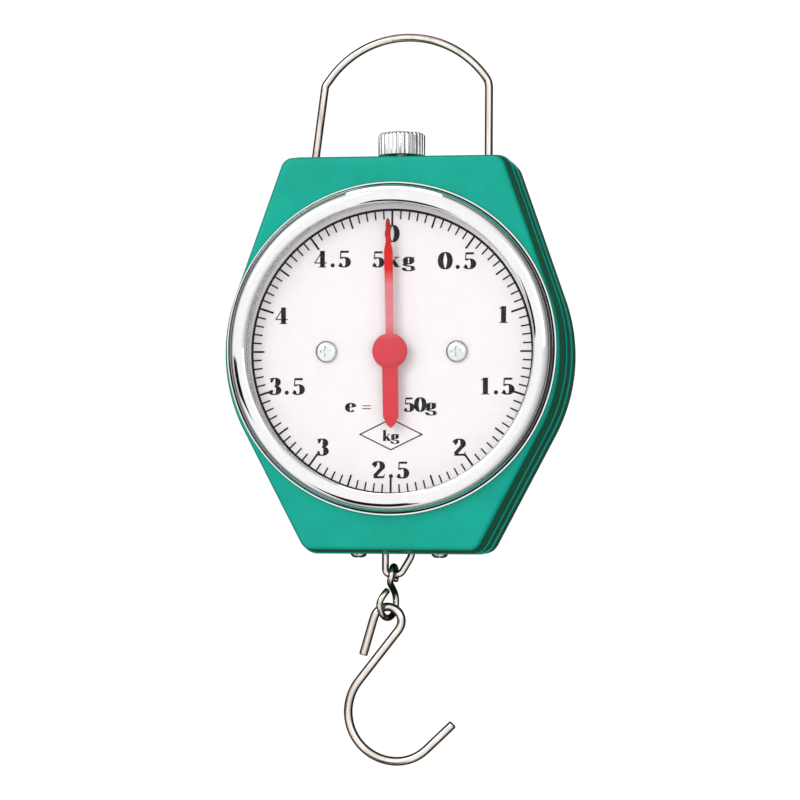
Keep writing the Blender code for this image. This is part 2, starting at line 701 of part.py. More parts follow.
def make_zero_adjuster():
    """Knurled knob on a threaded spindle that stands on the frame's top flange, held by a clip underneath."""
    axis_foot = at(0, MECHANISM_DEPTH, 0)
    ridges, ridge_depth = 30, 0.35 * MM
    rings = []
    knob_profile = [
        (61.9, 6.5, 0.0),
        (62.5, 7.3, 1.0),
        (68.3, 7.3, 1.0),
        (69.0, 6.6, 0.3),
    ]
    for height, radius, knurl in knob_profile:
        ring = []
        for step in range(2 * ridges):
            angle = math.pi * step / ridges
            reach = radius * MM - (step % 2) * knurl * ridge_depth
            ring.append(axis_foot + Vector((reach * math.cos(angle), reach * math.sin(angle), height * MM)))
        rings.append(ring)
    knob = loft("zero_knob", rings, closed=False)
    bore = [(60.0 * MM, 2.5 * MM), (67.0 * MM, 2.5 * MM)]
    cut(knob, turned("knob_bore", axis_foot, (0, 0, 1), bore, 14))
    give_material(knob, "chrome")

    spindle_profile = [
        (30.0, 1.5),
        (30.6, 2.0),
        (56.3, 2.0),
        (56.3, 4.4),
        (57.6, 4.4),
        (57.6, 2.2),
        (66.6, 2.2),
    ]
    spindle_profile = [(height * MM, radius * MM) for height, radius in spindle_profile]
    spindle = turned("zero_spindle", axis_foot, (0, 0, 1), spindle_profile, 14)
    give_material(spindle, "bright_steel")

    clip_profile = [(53.2, 2.3), (53.2, 4.4), (54.5, 4.4), (54.5, 2.3)]
    clip_profile = [(height * MM, radius * MM) for height, radius in clip_profile]
    clip = turned_ring("spindle_clip", axis_foot, (0, 0, 1), clip_profile, 14)
    give_material(clip, "spring_steel")

    low = (-18.5 * MM, PLATE_FRONT, CARRIER_HOOK_HEIGHT - 3.0 * MM)
    high = (18.5 * MM, PLATE_BACK, CARRIER_HOOK_HEIGHT + 5.0 * MM)
    carrier = box("spring_carrier", low, high)
    boss = [(low[2] - 0.5 * MM, 4.6 * MM), (high[2] + 0.5 * MM, 4.6 * MM)]
    join(carrier, turned("carrier_boss", axis_foot, (0, 0, 1), boss, 16))
    thread = [(low[2] - 2.0 * MM, 2.3 * MM), (high[2] + 2.0 * MM, 2.3 * MM)]
    cut(carrier, turned("carrier_thread", axis_foot, (0, 0, 1), thread, 14))
    for x in (-SPRING_X, SPRING_X):
        cut_hook_hole(carrier, x, CARRIER_HOOK_HEIGHT, 1.1 * MM)
    give_material(carrier, "bright_steel")


def cut_hook_hole(bar, x, height, radius):
    hole = [(PLATE_FRONT - 1.0 * MM, radius), (PLATE_BACK + 1.0 * MM, radius)]
    cut(bar, turned("hook_hole", at(x, 0, height), (0, 1, 0), hole, 10))


# ---------------------------------------------------------------- load train


def make_draw_bar():
    """Flat bar that hangs on both springs, taller in its middle where the rack is riveted on."""
    right = [(18.5, -30.0), (18.5, -24.2), (10.5, -24.2), (9.0, -18.0)]
    outline = right + [(-x, height) for x, height in reversed(right)]
    outline = [(x * MM, height * MM) for x, height in outline]
    bar = plate("draw_bar", outline, PLATE_FRONT, PLATE_BACK)
    for x in (-SPRING_X, SPRING_X):
        cut_hook_hole(bar, x, DRAW_BAR_HOOK_HEIGHT, 1.1 * MM)
    for x in (LOOP_LEFT_X, LOOP_RIGHT_X):
        cut_hook_hole(bar, x, DRAW_BAR_HOOK_HEIGHT - 0.5 * MM, LOOP_WIRE_RADIUS + 0.4 * MM)
    for height in RACK_RIVET_HEIGHTS:
        hole = [(PLATE_FRONT - 1.0 * MM, 0.9 * MM), (PLATE_BACK + 1.0 * MM, 0.9 * MM)]
        cut(bar, turned("rivet_hole", at(RACK_RIVET_X, 0, height), (0, 1, 0), hole, 8))
    give_material(bar, "bright_steel")
    return bar


def make_rack():
    """Toothed strip on the pinion's right, riveted to the front of the draw bar."""
    tip_x = PINION_PITCH_RADIUS - 0.35 * MM
    root_x = PINION_PITCH_RADIUS + 0.7 * MM
    back_x = 8.0 * MM
    lowest, highest = -24.0 * MM, 30.0 * MM
    outline = [(back_x, lowest), (back_x, highest), (root_x, highest)]
    half_root, half_tip = 0.75 * TOOTH_WIDTH, 0.3 * TOOTH_WIDTH
    for tooth in range(13, -2, -1):
        middle = (tooth + 0.5) * TOOTH_PITCH
        outline += [
            (root_x, middle + half_root),
            (tip_x, middle + half_tip),
            (tip_x, middle - half_tip),
            (root_x, middle - half_root),
        ]
    outline.append((root_x, lowest))
    rack = plate("drive_rack", outline, RACK_FRONT, RACK_BACK)
    for height in RACK_RIVET_HEIGHTS:
        hole = [(13.0 * MM, 0.9 * MM), (19.0 * MM, 0.9 * MM)]
        cut(rack, turned("rivet_hole", at(RACK_RIVET_X, 0, height), (0, 1, 0), hole, 8))
    give_material(rack, "brass")
    return rack


def make_rack_rivets():
    head, shank = 1.2 * MM, 0.6 * MM
    for name, height in zip(("lower", "upper"), RACK_RIVET_HEIGHTS):
        front, back = RACK_FRONT - GAP, PLATE_BACK + GAP
        profile = [
            (front - 0.7 * MM, head * 0.6),
            (front, head),
            (front, shank),
            (back, shank),
            (back, head),
            (back + 0.7 * MM, head * 0.6),
        ]
        rivet = turned(f"rack_rivet_{name}", at(RACK_RIVET_X, 0, height), (0, 1, 0), profile, 10)
        give_material(rivet, "brass")


def make_rack_guide():
    """Angle bracket behind the rack's plain edge, on the front bridge's rear face."""
    front = BRIDGE_BACK + GAP
    near, far = 8.3 * MM, 9.7 * MM
    half_height = 5.0 * MM
    guide = box("rack_guide", (near, front, -half_height), (far, 18.0 * MM, half_height))
    foot_low = (near + 0.01 * MM, front + 0.01 * MM, -half_height + 0.01 * MM)
    join(guide, box("guide_foot", foot_low, (14.0 * MM, front + 1.4 * MM, half_height - 0.01 * MM)))
    give_material(guide, "nylon")
    return guide


def spring_points(x):
    """One extension spring: an end loop through each bar's hole, and an open coil between them."""
    top, bottom = CARRIER_HOOK_HEIGHT, DRAW_BAR_HOOK_HEIGHT
    loop_radius = 3.0 * MM
    coil_top, coil_bottom = top - 11.0 * MM, bottom + 11.0 * MM
    points = []
    for depth, height in arc((SPRING_DEPTH, top - loop_radius), loop_radius, 200, -60, 6):
        points.append(at(x, depth, height))
    points.append(at(x, SPRING_DEPTH, coil_top + 2.6 * MM))
    steps = SPRING_TURNS * TURN_STEPS
    for step in range(steps + 1):
        angle = 2.0 * math.pi * step / TURN_STEPS
        height = coil_top + (coil_bottom - coil_top) * step / steps
        sideways = SPRING_COIL_RADIUS * math.sin(angle)
        points.append(at(x + sideways, SPRING_DEPTH + SPRING_COIL_RADIUS * math.cos(angle), height))
    points.append(at(x, SPRING_DEPTH, coil_bottom - 2.6 * MM))
    for depth, height in arc((SPRING_DEPTH, bottom + loop_radius), loop_radius, 60, -200, 6):
        points.append(at(x, depth, height))
    return points


def make_springs():
    for side, x in (("left", -SPRING_X), ("right", SPRING_X)):
        spring = wire(f"spring_{side}", spring_points(x), SPRING_WIRE_RADIUS, sides=4)
        give_material(spring, "spring_steel")


def make_load_loop():
    """Bent wire loop: its legs hook through the draw bar, and it hangs out through the housing's bottom."""
    hook_height = DRAW_BAR_HOOK_HEIGHT - 0.5 * MM
    leg_depth = MECHANISM_DEPTH
    back_depth = PLATE_BACK + 1.6 * MM
    corners = [
        Vector((LOOP_LEFT_X, back_depth, hook_height)),
        Vector((LOOP_LEFT_X, leg_depth, hook_height)),
        Vector((LOOP_LEFT_X, leg_depth, LOOP_LOW_HEIGHT - 0.3 * MM)),
        Vector((0.6 * MM, leg_depth, LOOP_LOW_HEIGHT)),
        Vector((LOOP_RIGHT_X, leg_depth, -62.3 * MM)),
        Vector((LOOP_RIGHT_X, leg_depth, hook_height)),
        Vector((LOOP_RIGHT_X, back_depth, hook_height)),
    ]
    radii = [0.0, 1.3 * MM, 1.5 * MM, 1.5 * MM, 3.0 * MM, 1.3 * MM, 0.0]
    points = [at(*point) for point in rounded_path(corners, radii, steps=4)]
    loop = wire("load_loop", points, LOOP_WIRE_RADIUS)
    give_material(loop, "nickel_wire")
    return loop


def rounded_path(corners, radii, steps):
    """A path through corners, each rounded by an arc of its own radius."""
    points = [corners[0]]
    for before, corner, after, radius in zip(corners, corners[1:], corners[2:], radii[1:]):
        to_before = (before - corner).normalized()
        to_after = (after - corner).normalized()
        half = to_before.angle(to_after) / 2.0
        centre = corner + (to_before + to_after).normalized() * radius / math.sin(half)
        start = corner + to_before * radius / math.tan(half) - centre
        end = corner + to_after * radius / math.tan(half) - centre
        sweep = start.angle(end)
        for step in range(steps + 1):
            turned_by = sweep * step / steps
            reach = start * math.sin(sweep - turned_by) + end * math.sin(turned_by)
            points.append(centre + reach / math.sin(sweep))
    points.append(corners[-1])
    return points


def make_link():
    """S-shaped wire link whose two eyes are bent shut, with a twist between them."""
    flat = arc((0, LINK_TOP_CENTRE), LINK_TOP_RADIUS, -36, 238, 14)
    for step in range(19):
        angle = math.radians(58.0 - (58.0 + 215.0) * step / 18)
        flat.append(
            (LINK_LOW_HALF_WIDTH * math.cos(angle), LINK_LOW_CENTRE + LINK_LOW_HALF_HEIGHT * math.sin(angle))
        )
    points = []
    for sideways, height in flat:
        share = (LINK_TOP_CENTRE - height) / (LINK_TOP_CENTRE - LINK_LOW_CENTRE)
        share = min(max(share, 0.0), 1.0)
        twist = LINK_TOP_TWIST + (LINK_LOW_TWIST - LINK_TOP_TWIST) * share
        x = LINK_TOP_X + (LINK_LOW_X - LINK_TOP_X) * share + sideways * math.cos(twist)
        points.append(at(x, MECHANISM_DEPTH + sideways * math.sin(twist), height))
    link = wire("swivel_link", points, LINK_WIRE_RADIUS)
    give_material(link, "nickel_wire")
    return link


def make_hook():
    """S-hook: a short tail, a tight top bend, a straight neck, and a wide bowl with a raised tip."""
    top_centre, top_radius = (-3.5 * MM, -82.4 * MM), 4.4 * MM
    bowl_centre, bowl_radius = (-0.5 * MM, -110.4 * MM), 15.2 * MM
    rise_radius = 13.4 * MM
    rise_centre = (bowl_centre[0], bowl_centre[1] - bowl_radius + rise_radius)
    path = [(-11.1 * MM, -93.0 * MM)]
    path += arc(top_centre, top_radius, 167, -36, 12)
    path += arc(bowl_centre, bowl_radius, 143, 270, 11)
    path += arc(rise_centre, rise_radius, 270, 314, 5)[1:]
    path.append((17.1 * MM, -113.9 * MM))
    hook = wire("s_hook", [at(x, MECHANISM_DEPTH, height) for x, height in path], HOOK_WIRE_RADIUS)
    give_material(hook, "nickel_wire")
    return hook


def make_bail():
    """Wire bail: feet bent inwards through the frame's ears, straight legs and a round arch."""
    arch_centre, arch_radius = (1.7 * MM, 68.65 * MM), 30.05 * MM
    foot_x = 21.0 * MM
    arch = arc(arch_centre, arch_radius, 147, 33, 16)
    left_shoulder, right_shoulder = (-23.9 * MM, 83.9 * MM), (27.3 * MM, 83.4 * MM)
    left_foot, right_foot = (-28.3 * MM, BAIL_PIVOT_HEIGHT), (27.3 * MM, BAIL_PIVOT_HEIGHT)
    corners = [(-foot_x, BAIL_PIVOT_HEIGHT), left_foot, left_shoulder]
    corners = [Vector((x, 0.0, height)) for x, height in corners]
    left = rounded_path(corners, [0.0, 1.7 * MM, 0.0], steps=4)
    corners = [right_shoulder, right_foot, (foot_x, BAIL_PIVOT_HEIGHT)]
    corners = [Vector((x, 0.0, height)) for x, height in corners]
    right = rounded_path(corners, [0.0, 1.7 * MM, 0.0], steps=4)
    middle = [Vector((x, 0.0, height)) for x, height in arch]
    points = [at(point.x, MECHANISM_DEPTH, point.z) for point in left + middle + right]
    bail = wire("bail", points, BAIL_WIRE_RADIUS)
    give_material(bail, "nickel_wire")
    return bail


# ---------------------------------------------------------------- joints


JOINT_PLACES = {
    "bail_axis": (0.0, MECHANISM_DEPTH, BAIL_PIVOT_HEIGHT),
    "knob_axis": (0.0, MECHANISM_DEPTH, 65.0 * MM),
    "carrier_axis": (0.0, MECHANISM_DEPTH, CARRIER_HOOK_HEIGHT),
    "pointer_axis": (0.0, 0.0, 0.0),
    "load_axis": (0.0, MECHANISM_DEPTH, DRAW_BAR_HOOK_HEIGHT),
    "link_axis": (LINK_TOP_X, MECHANISM_DEPTH, LOOP_LOW_HEIGHT),
    "hook_axis": (LINK_LOW_X, MECHANISM_DEPTH, LINK_LOW_CENTRE - LINK_LOW_HALF_HEIGHT),
}

JOINT_TREE = {
    "knob_axis": "bail_axis",
    "carrier_axis": "bail_axis",
    "pointer_axis": "bail_axis",
    "load_axis": "bail_axis",
    "link_axis": "load_axis",
    "hook_axis": "link_axis",
}

MOVING_PIECES = {
    "knob_axis": ["zero_knob", "zero_spindle", "spindle_clip"],
    "carrier_axis": ["spring_carrier"],
    "pointer_axis": ["pointer", "pointer_arbor", "drive_pinion"],
    "load_axis": ["draw_bar", "drive_rack", "rack_rivet_lower", "rack_rivet_upper", "load_loop"],
    "link_axis": ["swivel_link"],
    "hook_axis": ["s_hook"],
}


def hang_on_joints():
    """Parent every piece to an empty on its joint's axis. The bail itself is what stays still."""
    empties = {}
    for name, place in JOINT_PLACES.items():
        empty = bpy.data.objects.new(name, None)
        empty.location = at(*place)
        empty.empty_display_size = 5.0 * MM
        bpy.context.scene.collection.objects.link(empty)
        empties[name] = empty
    bpy.context.view_layer.update()
    parents = {piece: joint for joint, pieces in MOVING_PIECES.items() for piece in pieces}
    for piece in list(bpy.data.objects):
        if piece.type == "EMPTY" or piece.name == "bail":
            continue
        set_parent(piece, empties[parents.get(piece.name, "bail_axis")])
    for child, parent in JOINT_TREE.items():
        set_parent(empties[child], empties[parent])


def set_parent(child, parent):
    child.parent = parent
    child.matrix_parent_inverse = parent.matrix_world.inverted()


def main():
    clear_scene()
    make_front_cover()
    make_rear_cover()
    make_bezel()
    make_lens()
    make_lens_spacer()
    make_dial()
    make_pointer()
    make_arbor()
    make_bush("front_bush", 5.0 * MM, 8.5 * MM, 7.5 * MM, 8.5 * MM)
    make_bush("rear_bush", 25.9 * MM, 29.7 * MM, 28.8 * MM, 29.7 * MM)
    make_pinion()
    make_screws()
    make_main_frame()
    make_front_bridge()
    make_pillars_and_spacers()
    make_zero_adjuster()
    make_draw_bar()
    make_rack()
    make_rack_rivets()
    make_rack_guide()
    make_springs()
    make_load_loop()
    make_link()
    make_hook()
    make_bail()
    hang_on_joints()


main()
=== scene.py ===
import math

import bmesh
import bpy
from mathutils import Matrix, Vector


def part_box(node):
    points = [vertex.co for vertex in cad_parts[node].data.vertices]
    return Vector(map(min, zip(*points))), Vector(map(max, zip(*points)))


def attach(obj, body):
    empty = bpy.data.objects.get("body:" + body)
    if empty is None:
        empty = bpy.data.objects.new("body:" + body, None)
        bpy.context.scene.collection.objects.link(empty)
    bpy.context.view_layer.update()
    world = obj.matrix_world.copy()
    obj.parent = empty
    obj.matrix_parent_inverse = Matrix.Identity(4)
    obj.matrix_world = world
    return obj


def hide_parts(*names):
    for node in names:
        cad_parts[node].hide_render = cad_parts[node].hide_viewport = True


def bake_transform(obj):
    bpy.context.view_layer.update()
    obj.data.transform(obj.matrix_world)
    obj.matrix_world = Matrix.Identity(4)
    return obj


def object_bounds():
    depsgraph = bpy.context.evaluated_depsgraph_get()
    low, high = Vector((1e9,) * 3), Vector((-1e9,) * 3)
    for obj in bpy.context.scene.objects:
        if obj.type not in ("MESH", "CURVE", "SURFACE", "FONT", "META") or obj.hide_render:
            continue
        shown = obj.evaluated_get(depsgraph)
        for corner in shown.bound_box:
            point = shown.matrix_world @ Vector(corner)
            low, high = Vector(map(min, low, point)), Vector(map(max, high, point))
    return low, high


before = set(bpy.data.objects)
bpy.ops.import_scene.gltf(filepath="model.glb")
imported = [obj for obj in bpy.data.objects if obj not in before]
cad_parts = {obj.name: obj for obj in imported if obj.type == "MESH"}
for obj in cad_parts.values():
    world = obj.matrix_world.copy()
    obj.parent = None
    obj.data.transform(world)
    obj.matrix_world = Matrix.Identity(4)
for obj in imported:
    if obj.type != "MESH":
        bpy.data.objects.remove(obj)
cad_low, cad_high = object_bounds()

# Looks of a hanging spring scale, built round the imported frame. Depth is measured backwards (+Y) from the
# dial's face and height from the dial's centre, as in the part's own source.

MM = 0.001

# Places taken from the frame: the dial's centre, and how far behind it the wires lie, in millimetres.
arbor_low, arbor_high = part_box("pointer_arbor")
dial_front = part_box("dial_plate")[0].y
hook_low, hook_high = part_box("s_hook")
DIAL_CENTRE = Vector(((arbor_low.x + arbor_high.x) / 2.0, dial_front, (arbor_low.z + arbor_high.z) / 2.0))
WIRE_DEPTH = ((hook_low.y + hook_high.y) / 2.0 - DIAL_CENTRE.y) / MM

# Housing, in millimetres, like every length below except the camera's and the lights'.
TOP, BOTTOM = 59.8, -60.6
SIDE_DISTANCE = 51.85
UPPER_TILT, LOWER_TILT = math.radians(19.5), math.radians(27.8)
CORNER_RADIUS = 4.0
FACE, PARTING, BACK = -1.5, 9.5, 34.5
BEZEL_LIFT = 0.9
REAR_SCREWS = {
    "top_left": (-28.0, 46.0),
    "top_right": (28.0, 46.0),
    "bottom_left": (-26.0, -47.5),
    "bottom_right": (26.0, -47.5),
}
BOTTOM_SCREW_X = 12.7
DIAL_SCREW_X = 20.2
BAIL_SLOTS = (-27.15, 27.3)

# The dial's print.
RING_RADIUS = 43.4
TICK_COUNT = 100
INK_FRONT = -0.04
FULL_LOAD = 5.0
NUMBER_STEPS = 10
NUMBER_HEIGHT = 5.2
WHOLE_NUMBER_RADIUS, HALF_NUMBER_RADIUS = 36.1, 34.2
NUMBER_SHIFTS = {"4.5": (1.5, 0.8), "2.5": (0.0, -1.9)}

# Wires: their radii, and the radius of the bends at the bail's feet.
BAIL_RADIUS, LOOP_RADIUS, LINK_RADIUS, HOOK_RADIUS, SPRING_RADIUS = 1.25, 1.1, 1.0, 1.35, 0.45
FOOT_BEND = 1.7

# Steps of the fine surfaces, and the angles above which an edge stays sharp.
ROUND_STEPS, BEZEL_STEPS = 160, 224
CORNER_STEPS, WAIST_STEPS, EDGE_STEPS = 8, 24, 14
SHARP_DEGREES, SHARP_DEGREES_OF_CUTS = 35.0, 30.0


def at(x, depth, height):
    """A point in the frame from millimetres about the dial's centre."""
    return DIAL_CENTRE + Vector((x, depth, height)) * MM


# ---------------------------------------------------------------- mesh helpers


def new_piece(name, builder, smooth_degrees=SHARP_DEGREES):
    """Turn a bmesh into an object in the scene, smooth except at edges above the angle."""
    bmesh.ops.recalc_face_normals(builder, faces=builder.faces)
    mesh = bpy.data.meshes.new(name)
    builder.to_mesh(mesh)
    builder.free()
    mesh.shade_smooth()
    mesh.set_sharp_from_angle(angle=math.radians(smooth_degrees))
    piece = bpy.data.objects.new(name, mesh)
    bpy.context.scene.collection.objects.link(piece)
    return piece


def add_loft(builder, rings, closed, open_end=False):
    """Skin a row of rings with equal counts of points. The row closes on itself or is capped at its ends."""
    loops = [[builder.verts.new(point) for point in ring] for ring in rings]
    pairs = list(zip(loops, loops[1:]))
    if closed:
        pairs.append((loops[-1], loops[0]))
    for first, second in pairs:
        for i in range(len(first)):
            j = (i + 1) % len(first)
            builder.faces.new((first[i], first[j], second[j], second[i]))
    if not closed:
        builder.faces.new(loops[0])
    if not closed and not open_end:
        builder.faces.new(loops[-1])


def loft(name, rings, closed, smooth_degrees=SHARP_DEGREES):
    builder = bmesh.new()
    add_loft(builder, rings, closed)
    return new_piece(name, builder, smooth_degrees)


def turned_rings(centre, axis, profile, steps):
    """Rings about an axis, of a profile of (distance along the axis, radius) in millimetres from centre."""
    axis = Vector(axis).normalized()
    across = axis.orthogonal().normalized()
    spokes = [Matrix.Rotation(2.0 * math.pi * i / steps, 3, axis) @ across for i in range(steps)]
    return [
        [centre + axis * distance * MM + spoke * radius * MM for spoke in spokes]
        for distance, radius in profile
    ]


def turned(name, centre, axis, profile, steps=ROUND_STEPS, closed=False, smooth_degrees=SHARP_DEGREES):
    """A turned piece, or a tool to cut or join with."""
    return loft(name, turned_rings(centre, axis, profile, steps), closed, smooth_degrees)


def box_tool(low, high):
    outline = [(low[0], low[2]), (high[0], low[2]), (high[0], high[2]), (low[0], high[2])]
    rings = [[at(x, depth, height) for x, height in outline] for depth in (low[1], high[1])]
    return loft("tool", rings, closed=False)


def boolean(target, tool, operation):
    modifier = target.modifiers.new(operation, "BOOLEAN")
    modifier.operation = operation
    modifier.object = tool
    modifier.solver = "EXACT"
    bpy.context.view_layer.update()
    evaluated = target.evaluated_get(bpy.context.evaluated_depsgraph_get())
    mesh = bpy.data.meshes.new_from_object(evaluated)
    mesh.shade_smooth()
    mesh.set_sharp_from_angle(angle=math.radians(SHARP_DEGREES_OF_CUTS))
    target.modifiers.clear()
    target.data = mesh
    bpy.data.objects.remove(tool, do_unlink=True)


def cut(target, *tools):
    for tool in tools:
        boolean(target, tool, "DIFFERENCE")


def join(target, *tools):
    for tool in tools:
        boolean(target, tool, "UNION")


def arc(centre, radius, start, end, steps, squeeze=1.0):
    """Points on an arc with its angles in degrees; squeeze scales its height, for an ellipse."""
    points = []
    for step in range(steps + 1):
        angle = math.radians(start + (end - start) * step / steps)
        points.append(
            (centre[0] + radius * math.cos(angle), centre[1] + radius * squeeze * math.sin(angle))
        )
    return points


def smooth_through(points, steps):
    """A smooth row of points through the given ones (a Catmull-Rom curve)."""
    rows = [Vector(point) for point in points]
    rows = [rows[0] * 2.0 - rows[1]] + rows + [rows[-1] * 2.0 - rows[-2]]
    result = []
    for before, start, end, after in zip(rows, rows[1:], rows[2:], rows[3:]):
        for step in range(steps):
            t = step / steps
            result.append(
                start
                + (end - before) * (0.5 * t)
                + (before * 2.0 - start * 5.0 + end * 4.0 - after) * (0.5 * t * t)
                + (start * 3.0 - before - end * 3.0 + after) * (0.5 * t * t * t)
            )
    result.append(rows[-2])
    return result


def tube(name, points, radius, sides=28):
    """A round wire along points in the frame, with its cut ends slightly chamfered."""
    points = [Vector(point) for point in points]
    tangents = []
    for i, point in enumerate(points):
        before, after = points[max(i - 1, 0)], points[min(i + 1, len(points) - 1)]
        tangents.append((after - before).normalized())
    chamfer = radius * 0.22
    across = tangents[0].orthogonal().normalized()
    rings = []
    for i, (point, tangent) in enumerate(zip(points, tangents)):
        across = (across - tangent * across.dot(tangent)).normalized()
        other = tangent.cross(across)
        spokes = [
            across * math.cos(2.0 * math.pi * side / sides) + other * math.sin(2.0 * math.pi * side / sides)
            for side in range(sides)
        ]
        if i == 0:
            rings.append([point + spoke * (radius - chamfer) for spoke in spokes])
            rings.append([point + tangent * chamfer + spoke * radius for spoke in spokes])
        elif i == len(points) - 1:
            rings.append([point - tangent * chamfer + spoke * radius for spoke in spokes])
            rings.append([point + spoke * (radius - chamfer) for spoke in spokes])
        else:
            rings.append([point + spoke * radius for spoke in spokes])
    return loft(name, rings, closed=False, smooth_degrees=50.0)


def even(points, spacing):
    """The same path with points at an even spacing, so that a tube along it bends smoothly."""
    points = [Vector(point) for point in points]
    result = [points[0]]
    left_over = 0.0
    for start, end in zip(points, points[1:]):
        length = (end - start).length
        reach = spacing - left_over
        while reach < length:
            result.append(start.lerp(end, reach / length))
            reach += spacing
        left_over = length - (reach - spacing)
    if (result[-1] - points[-1]).length < spacing * 0.5:
        result.pop()
    result.append(points[-1])
    return result


def relaxed(points, rounds):
    """Round a path's small kinks by averaging each point with its neighbours. The ends stay."""
    points = [Vector(point) for point in points]
    for _ in range(rounds):
        middle = [
            (before + point * 2.0 + after) / 4.0
            for before, point, after in zip(points, points[1:], points[2:])
        ]
        points = [points[0]] + middle + [points[-1]]
    return points


def rounded_path(corners, radii, steps):
    """A path through corners, each rounded by an arc of its own radius."""
    points = [corners[0]]
    for before, corner, after, radius in zip(corners, corners[1:], corners[2:], radii[1:]):
        to_before = (before - corner).normalized()
        to_after = (after - corner).normalized()
        half = to_before.angle(to_after) / 2.0
        centre = corner + (to_before + to_after).normalized() * radius / math.sin(half)
        start = corner + to_before * radius / math.tan(half) - centre
        end = corner + to_after * radius / math.tan(half) - centre
        sweep = start.angle(end)
        for step in range(steps + 1):
            turn = sweep * step / steps
            reach = start * math.sin(sweep - turn) + end * math.sin(turn)
            points.append(centre + reach / math.sin(sweep))
    points.append(corners[-1])
    return points


# ---------------------------------------------------------------- materials


def new_material(name):
    """A node material with its tree and its Principled shader."""
    material = bpy.data.materials.new(name)
    material.use_nodes = True
    tree = material.node_tree
    return material, tree, tree.nodes["Principled BSDF"]


def node(tree, kind, **inputs):
    made = tree.nodes.new(kind)
    for name, value in inputs.items():
        made.inputs[name.replace("_", " ")].default_value = value
    return made


def noise(tree, coordinates, scale, detail=4.0, stretch=(1.0, 1.0, 1.0)):
    """Noise over the object's own coordinates; scale is in features per metre."""
    mapping = tree.nodes.new("ShaderNodeMapping")
    mapping.inputs["Scale"].default_value = stretch
    texture = node(tree, "ShaderNodeTexNoise", Scale=scale, Detail=detail, Roughness=0.6)
    tree.links.new(coordinates, mapping.inputs["Vector"])
    tree.links.new(mapping.outputs["Vector"], texture.inputs["Vector"])
    return texture.outputs["Fac"]


def mixed(tree, first, second, factor, blend_type="MIX"):
    """Two colours mixed or multiplied."""
    mix = tree.nodes.new("ShaderNodeMix")
    mix.data_type = "RGBA"
    mix.blend_type = blend_type
    mix.inputs["Factor"].default_value = factor
    tree.links.new(first, mix.inputs["A"])
    tree.links.new(second, mix.inputs["B"])
    return mix.outputs["Result"]


def tint(material, colour, factor, blend_type="MIX"):
    """Mix a colour into whatever feeds a material's base colour."""
    tree = material.node_tree
    base = tree.nodes["Principled BSDF"].inputs["Base Color"]
    tree.links.new(mixed(tree, base.links[0].from_socket, colour, factor, blend_type), base)


def ramp(tree, value, stops):
    made = tree.nodes.new("ShaderNodeValToRGB")
    elements = made.color_ramp.elements
    while len(elements) < len(stops):
        elements.new(0.5)
    for element, (position, colour) in zip(elements, stops):
        element.position = position
        element.color = (*colour, 1.0)
    tree.links.new(value, made.inputs["Fac"])
    return made.outputs["Color"]


def spread(tree, value, low, high):
    made = node(tree, "ShaderNodeMapRange", From_Min=0.3, From_Max=0.7, To_Min=low, To_Max=high)
    tree.links.new(value, made.inputs["Value"])
    return made.outputs["Result"]


def finish(
    name,
    colour,
    roughness,
    metallic=0.0,
    mottle=0.06,
    mottle_scale=90.0,
    grain_scale=2500.0,
    grain_height=0.00001,
    stretch=(1.0, 1.0, 1.0),
    stain=None,
    specular=0.5,
):
    """A finish with mottled colour, uneven roughness and a fine bumpy grain, all from noise on the object."""
    material, tree, shader = new_material(name)
    shader.inputs["Metallic"].default_value = metallic
    shader.inputs["Specular IOR Level"].default_value = specular
    coordinates = tree.nodes.new("ShaderNodeTexCoord").outputs["Object"]
    darker = tuple(channel * (1.0 - mottle) for channel in colour)
    lighter = tuple(min(channel * (1.0 + mottle), 1.0) for channel in colour)
    stops = [(0.35, darker), (0.65, lighter)]
    if stain is not None:
        stops = [(0.24, stain), (0.36, darker), (0.65, lighter)]
    patches = noise(tree, coordinates, mottle_scale, stretch=stretch)
    tree.links.new(ramp(tree, patches, stops), shader.inputs["Base Color"])
    wear = noise(tree, coordinates, mottle_scale * 4.0, detail=6.0, stretch=stretch)
    tree.links.new(spread(tree, wear, roughness * 0.8, roughness * 1.25), shader.inputs["Roughness"])
    grain = noise(tree, coordinates, grain_scale, detail=3.0, stretch=stretch)
    bump = node(tree, "ShaderNodeBump", Strength=0.6, Distance=grain_height)
    tree.links.new(grain, bump.inputs["Height"])
    tree.links.new(bump.outputs["Normal"], shader.inputs["Normal"])
    return material


def paint_edge_shade(material, stops):
    """Multiply a finish's colour by a tone that depends on how far the surface turns from the viewer: painted
    shade and painted dark reflections on its edges.
    """
    tree = material.node_tree
    facing = node(tree, "ShaderNodeLayerWeight", Blend=0.5).outputs["Facing"]
    tint(material, ramp(tree, facing, stops), 1.0, "MULTIPLY")


def lacquer_and_painted_sheen(name):
    """Red lacquer with a painted reflection: a pale pink band along the middle of the pointer, and darker
    towards its tip.
    """
    material = finish(name, (0.6, 0.015, 0.015), 0.4, mottle=0.05, specular=0.08)
    tree = material.node_tree
    split = tree.nodes.new("ShaderNodeSeparateXYZ")
    tree.links.new(tree.nodes["Texture Coordinate"].outputs["Object"], split.inputs["Vector"])
    low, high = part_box("pointer")
    along = node(tree, "ShaderNodeMapRange", From_Min=low.z, From_Max=high.z)
    tree.links.new(split.outputs["Z"], along.inputs["Value"])
    # Painted reflection: pink in the middle of the pointer, deep red beyond it, darker towards the tip.
    stops = [
        (0.0, (0.57, 0.04, 0.055)),
        (0.42, (0.55, 0.055, 0.075)),
        (0.5, (0.64, 0.22, 0.24)),
        (0.68, (0.64, 0.2, 0.22)),
        (0.75, (0.6, 0.008, 0.006)),
        (0.88, (0.5, 0.008, 0.006)),
        (1.0, (0.24, 0.015, 0.012)),
    ]
    tint(material, ramp(tree, along.outputs["Result"], stops), 0.85)
    return material


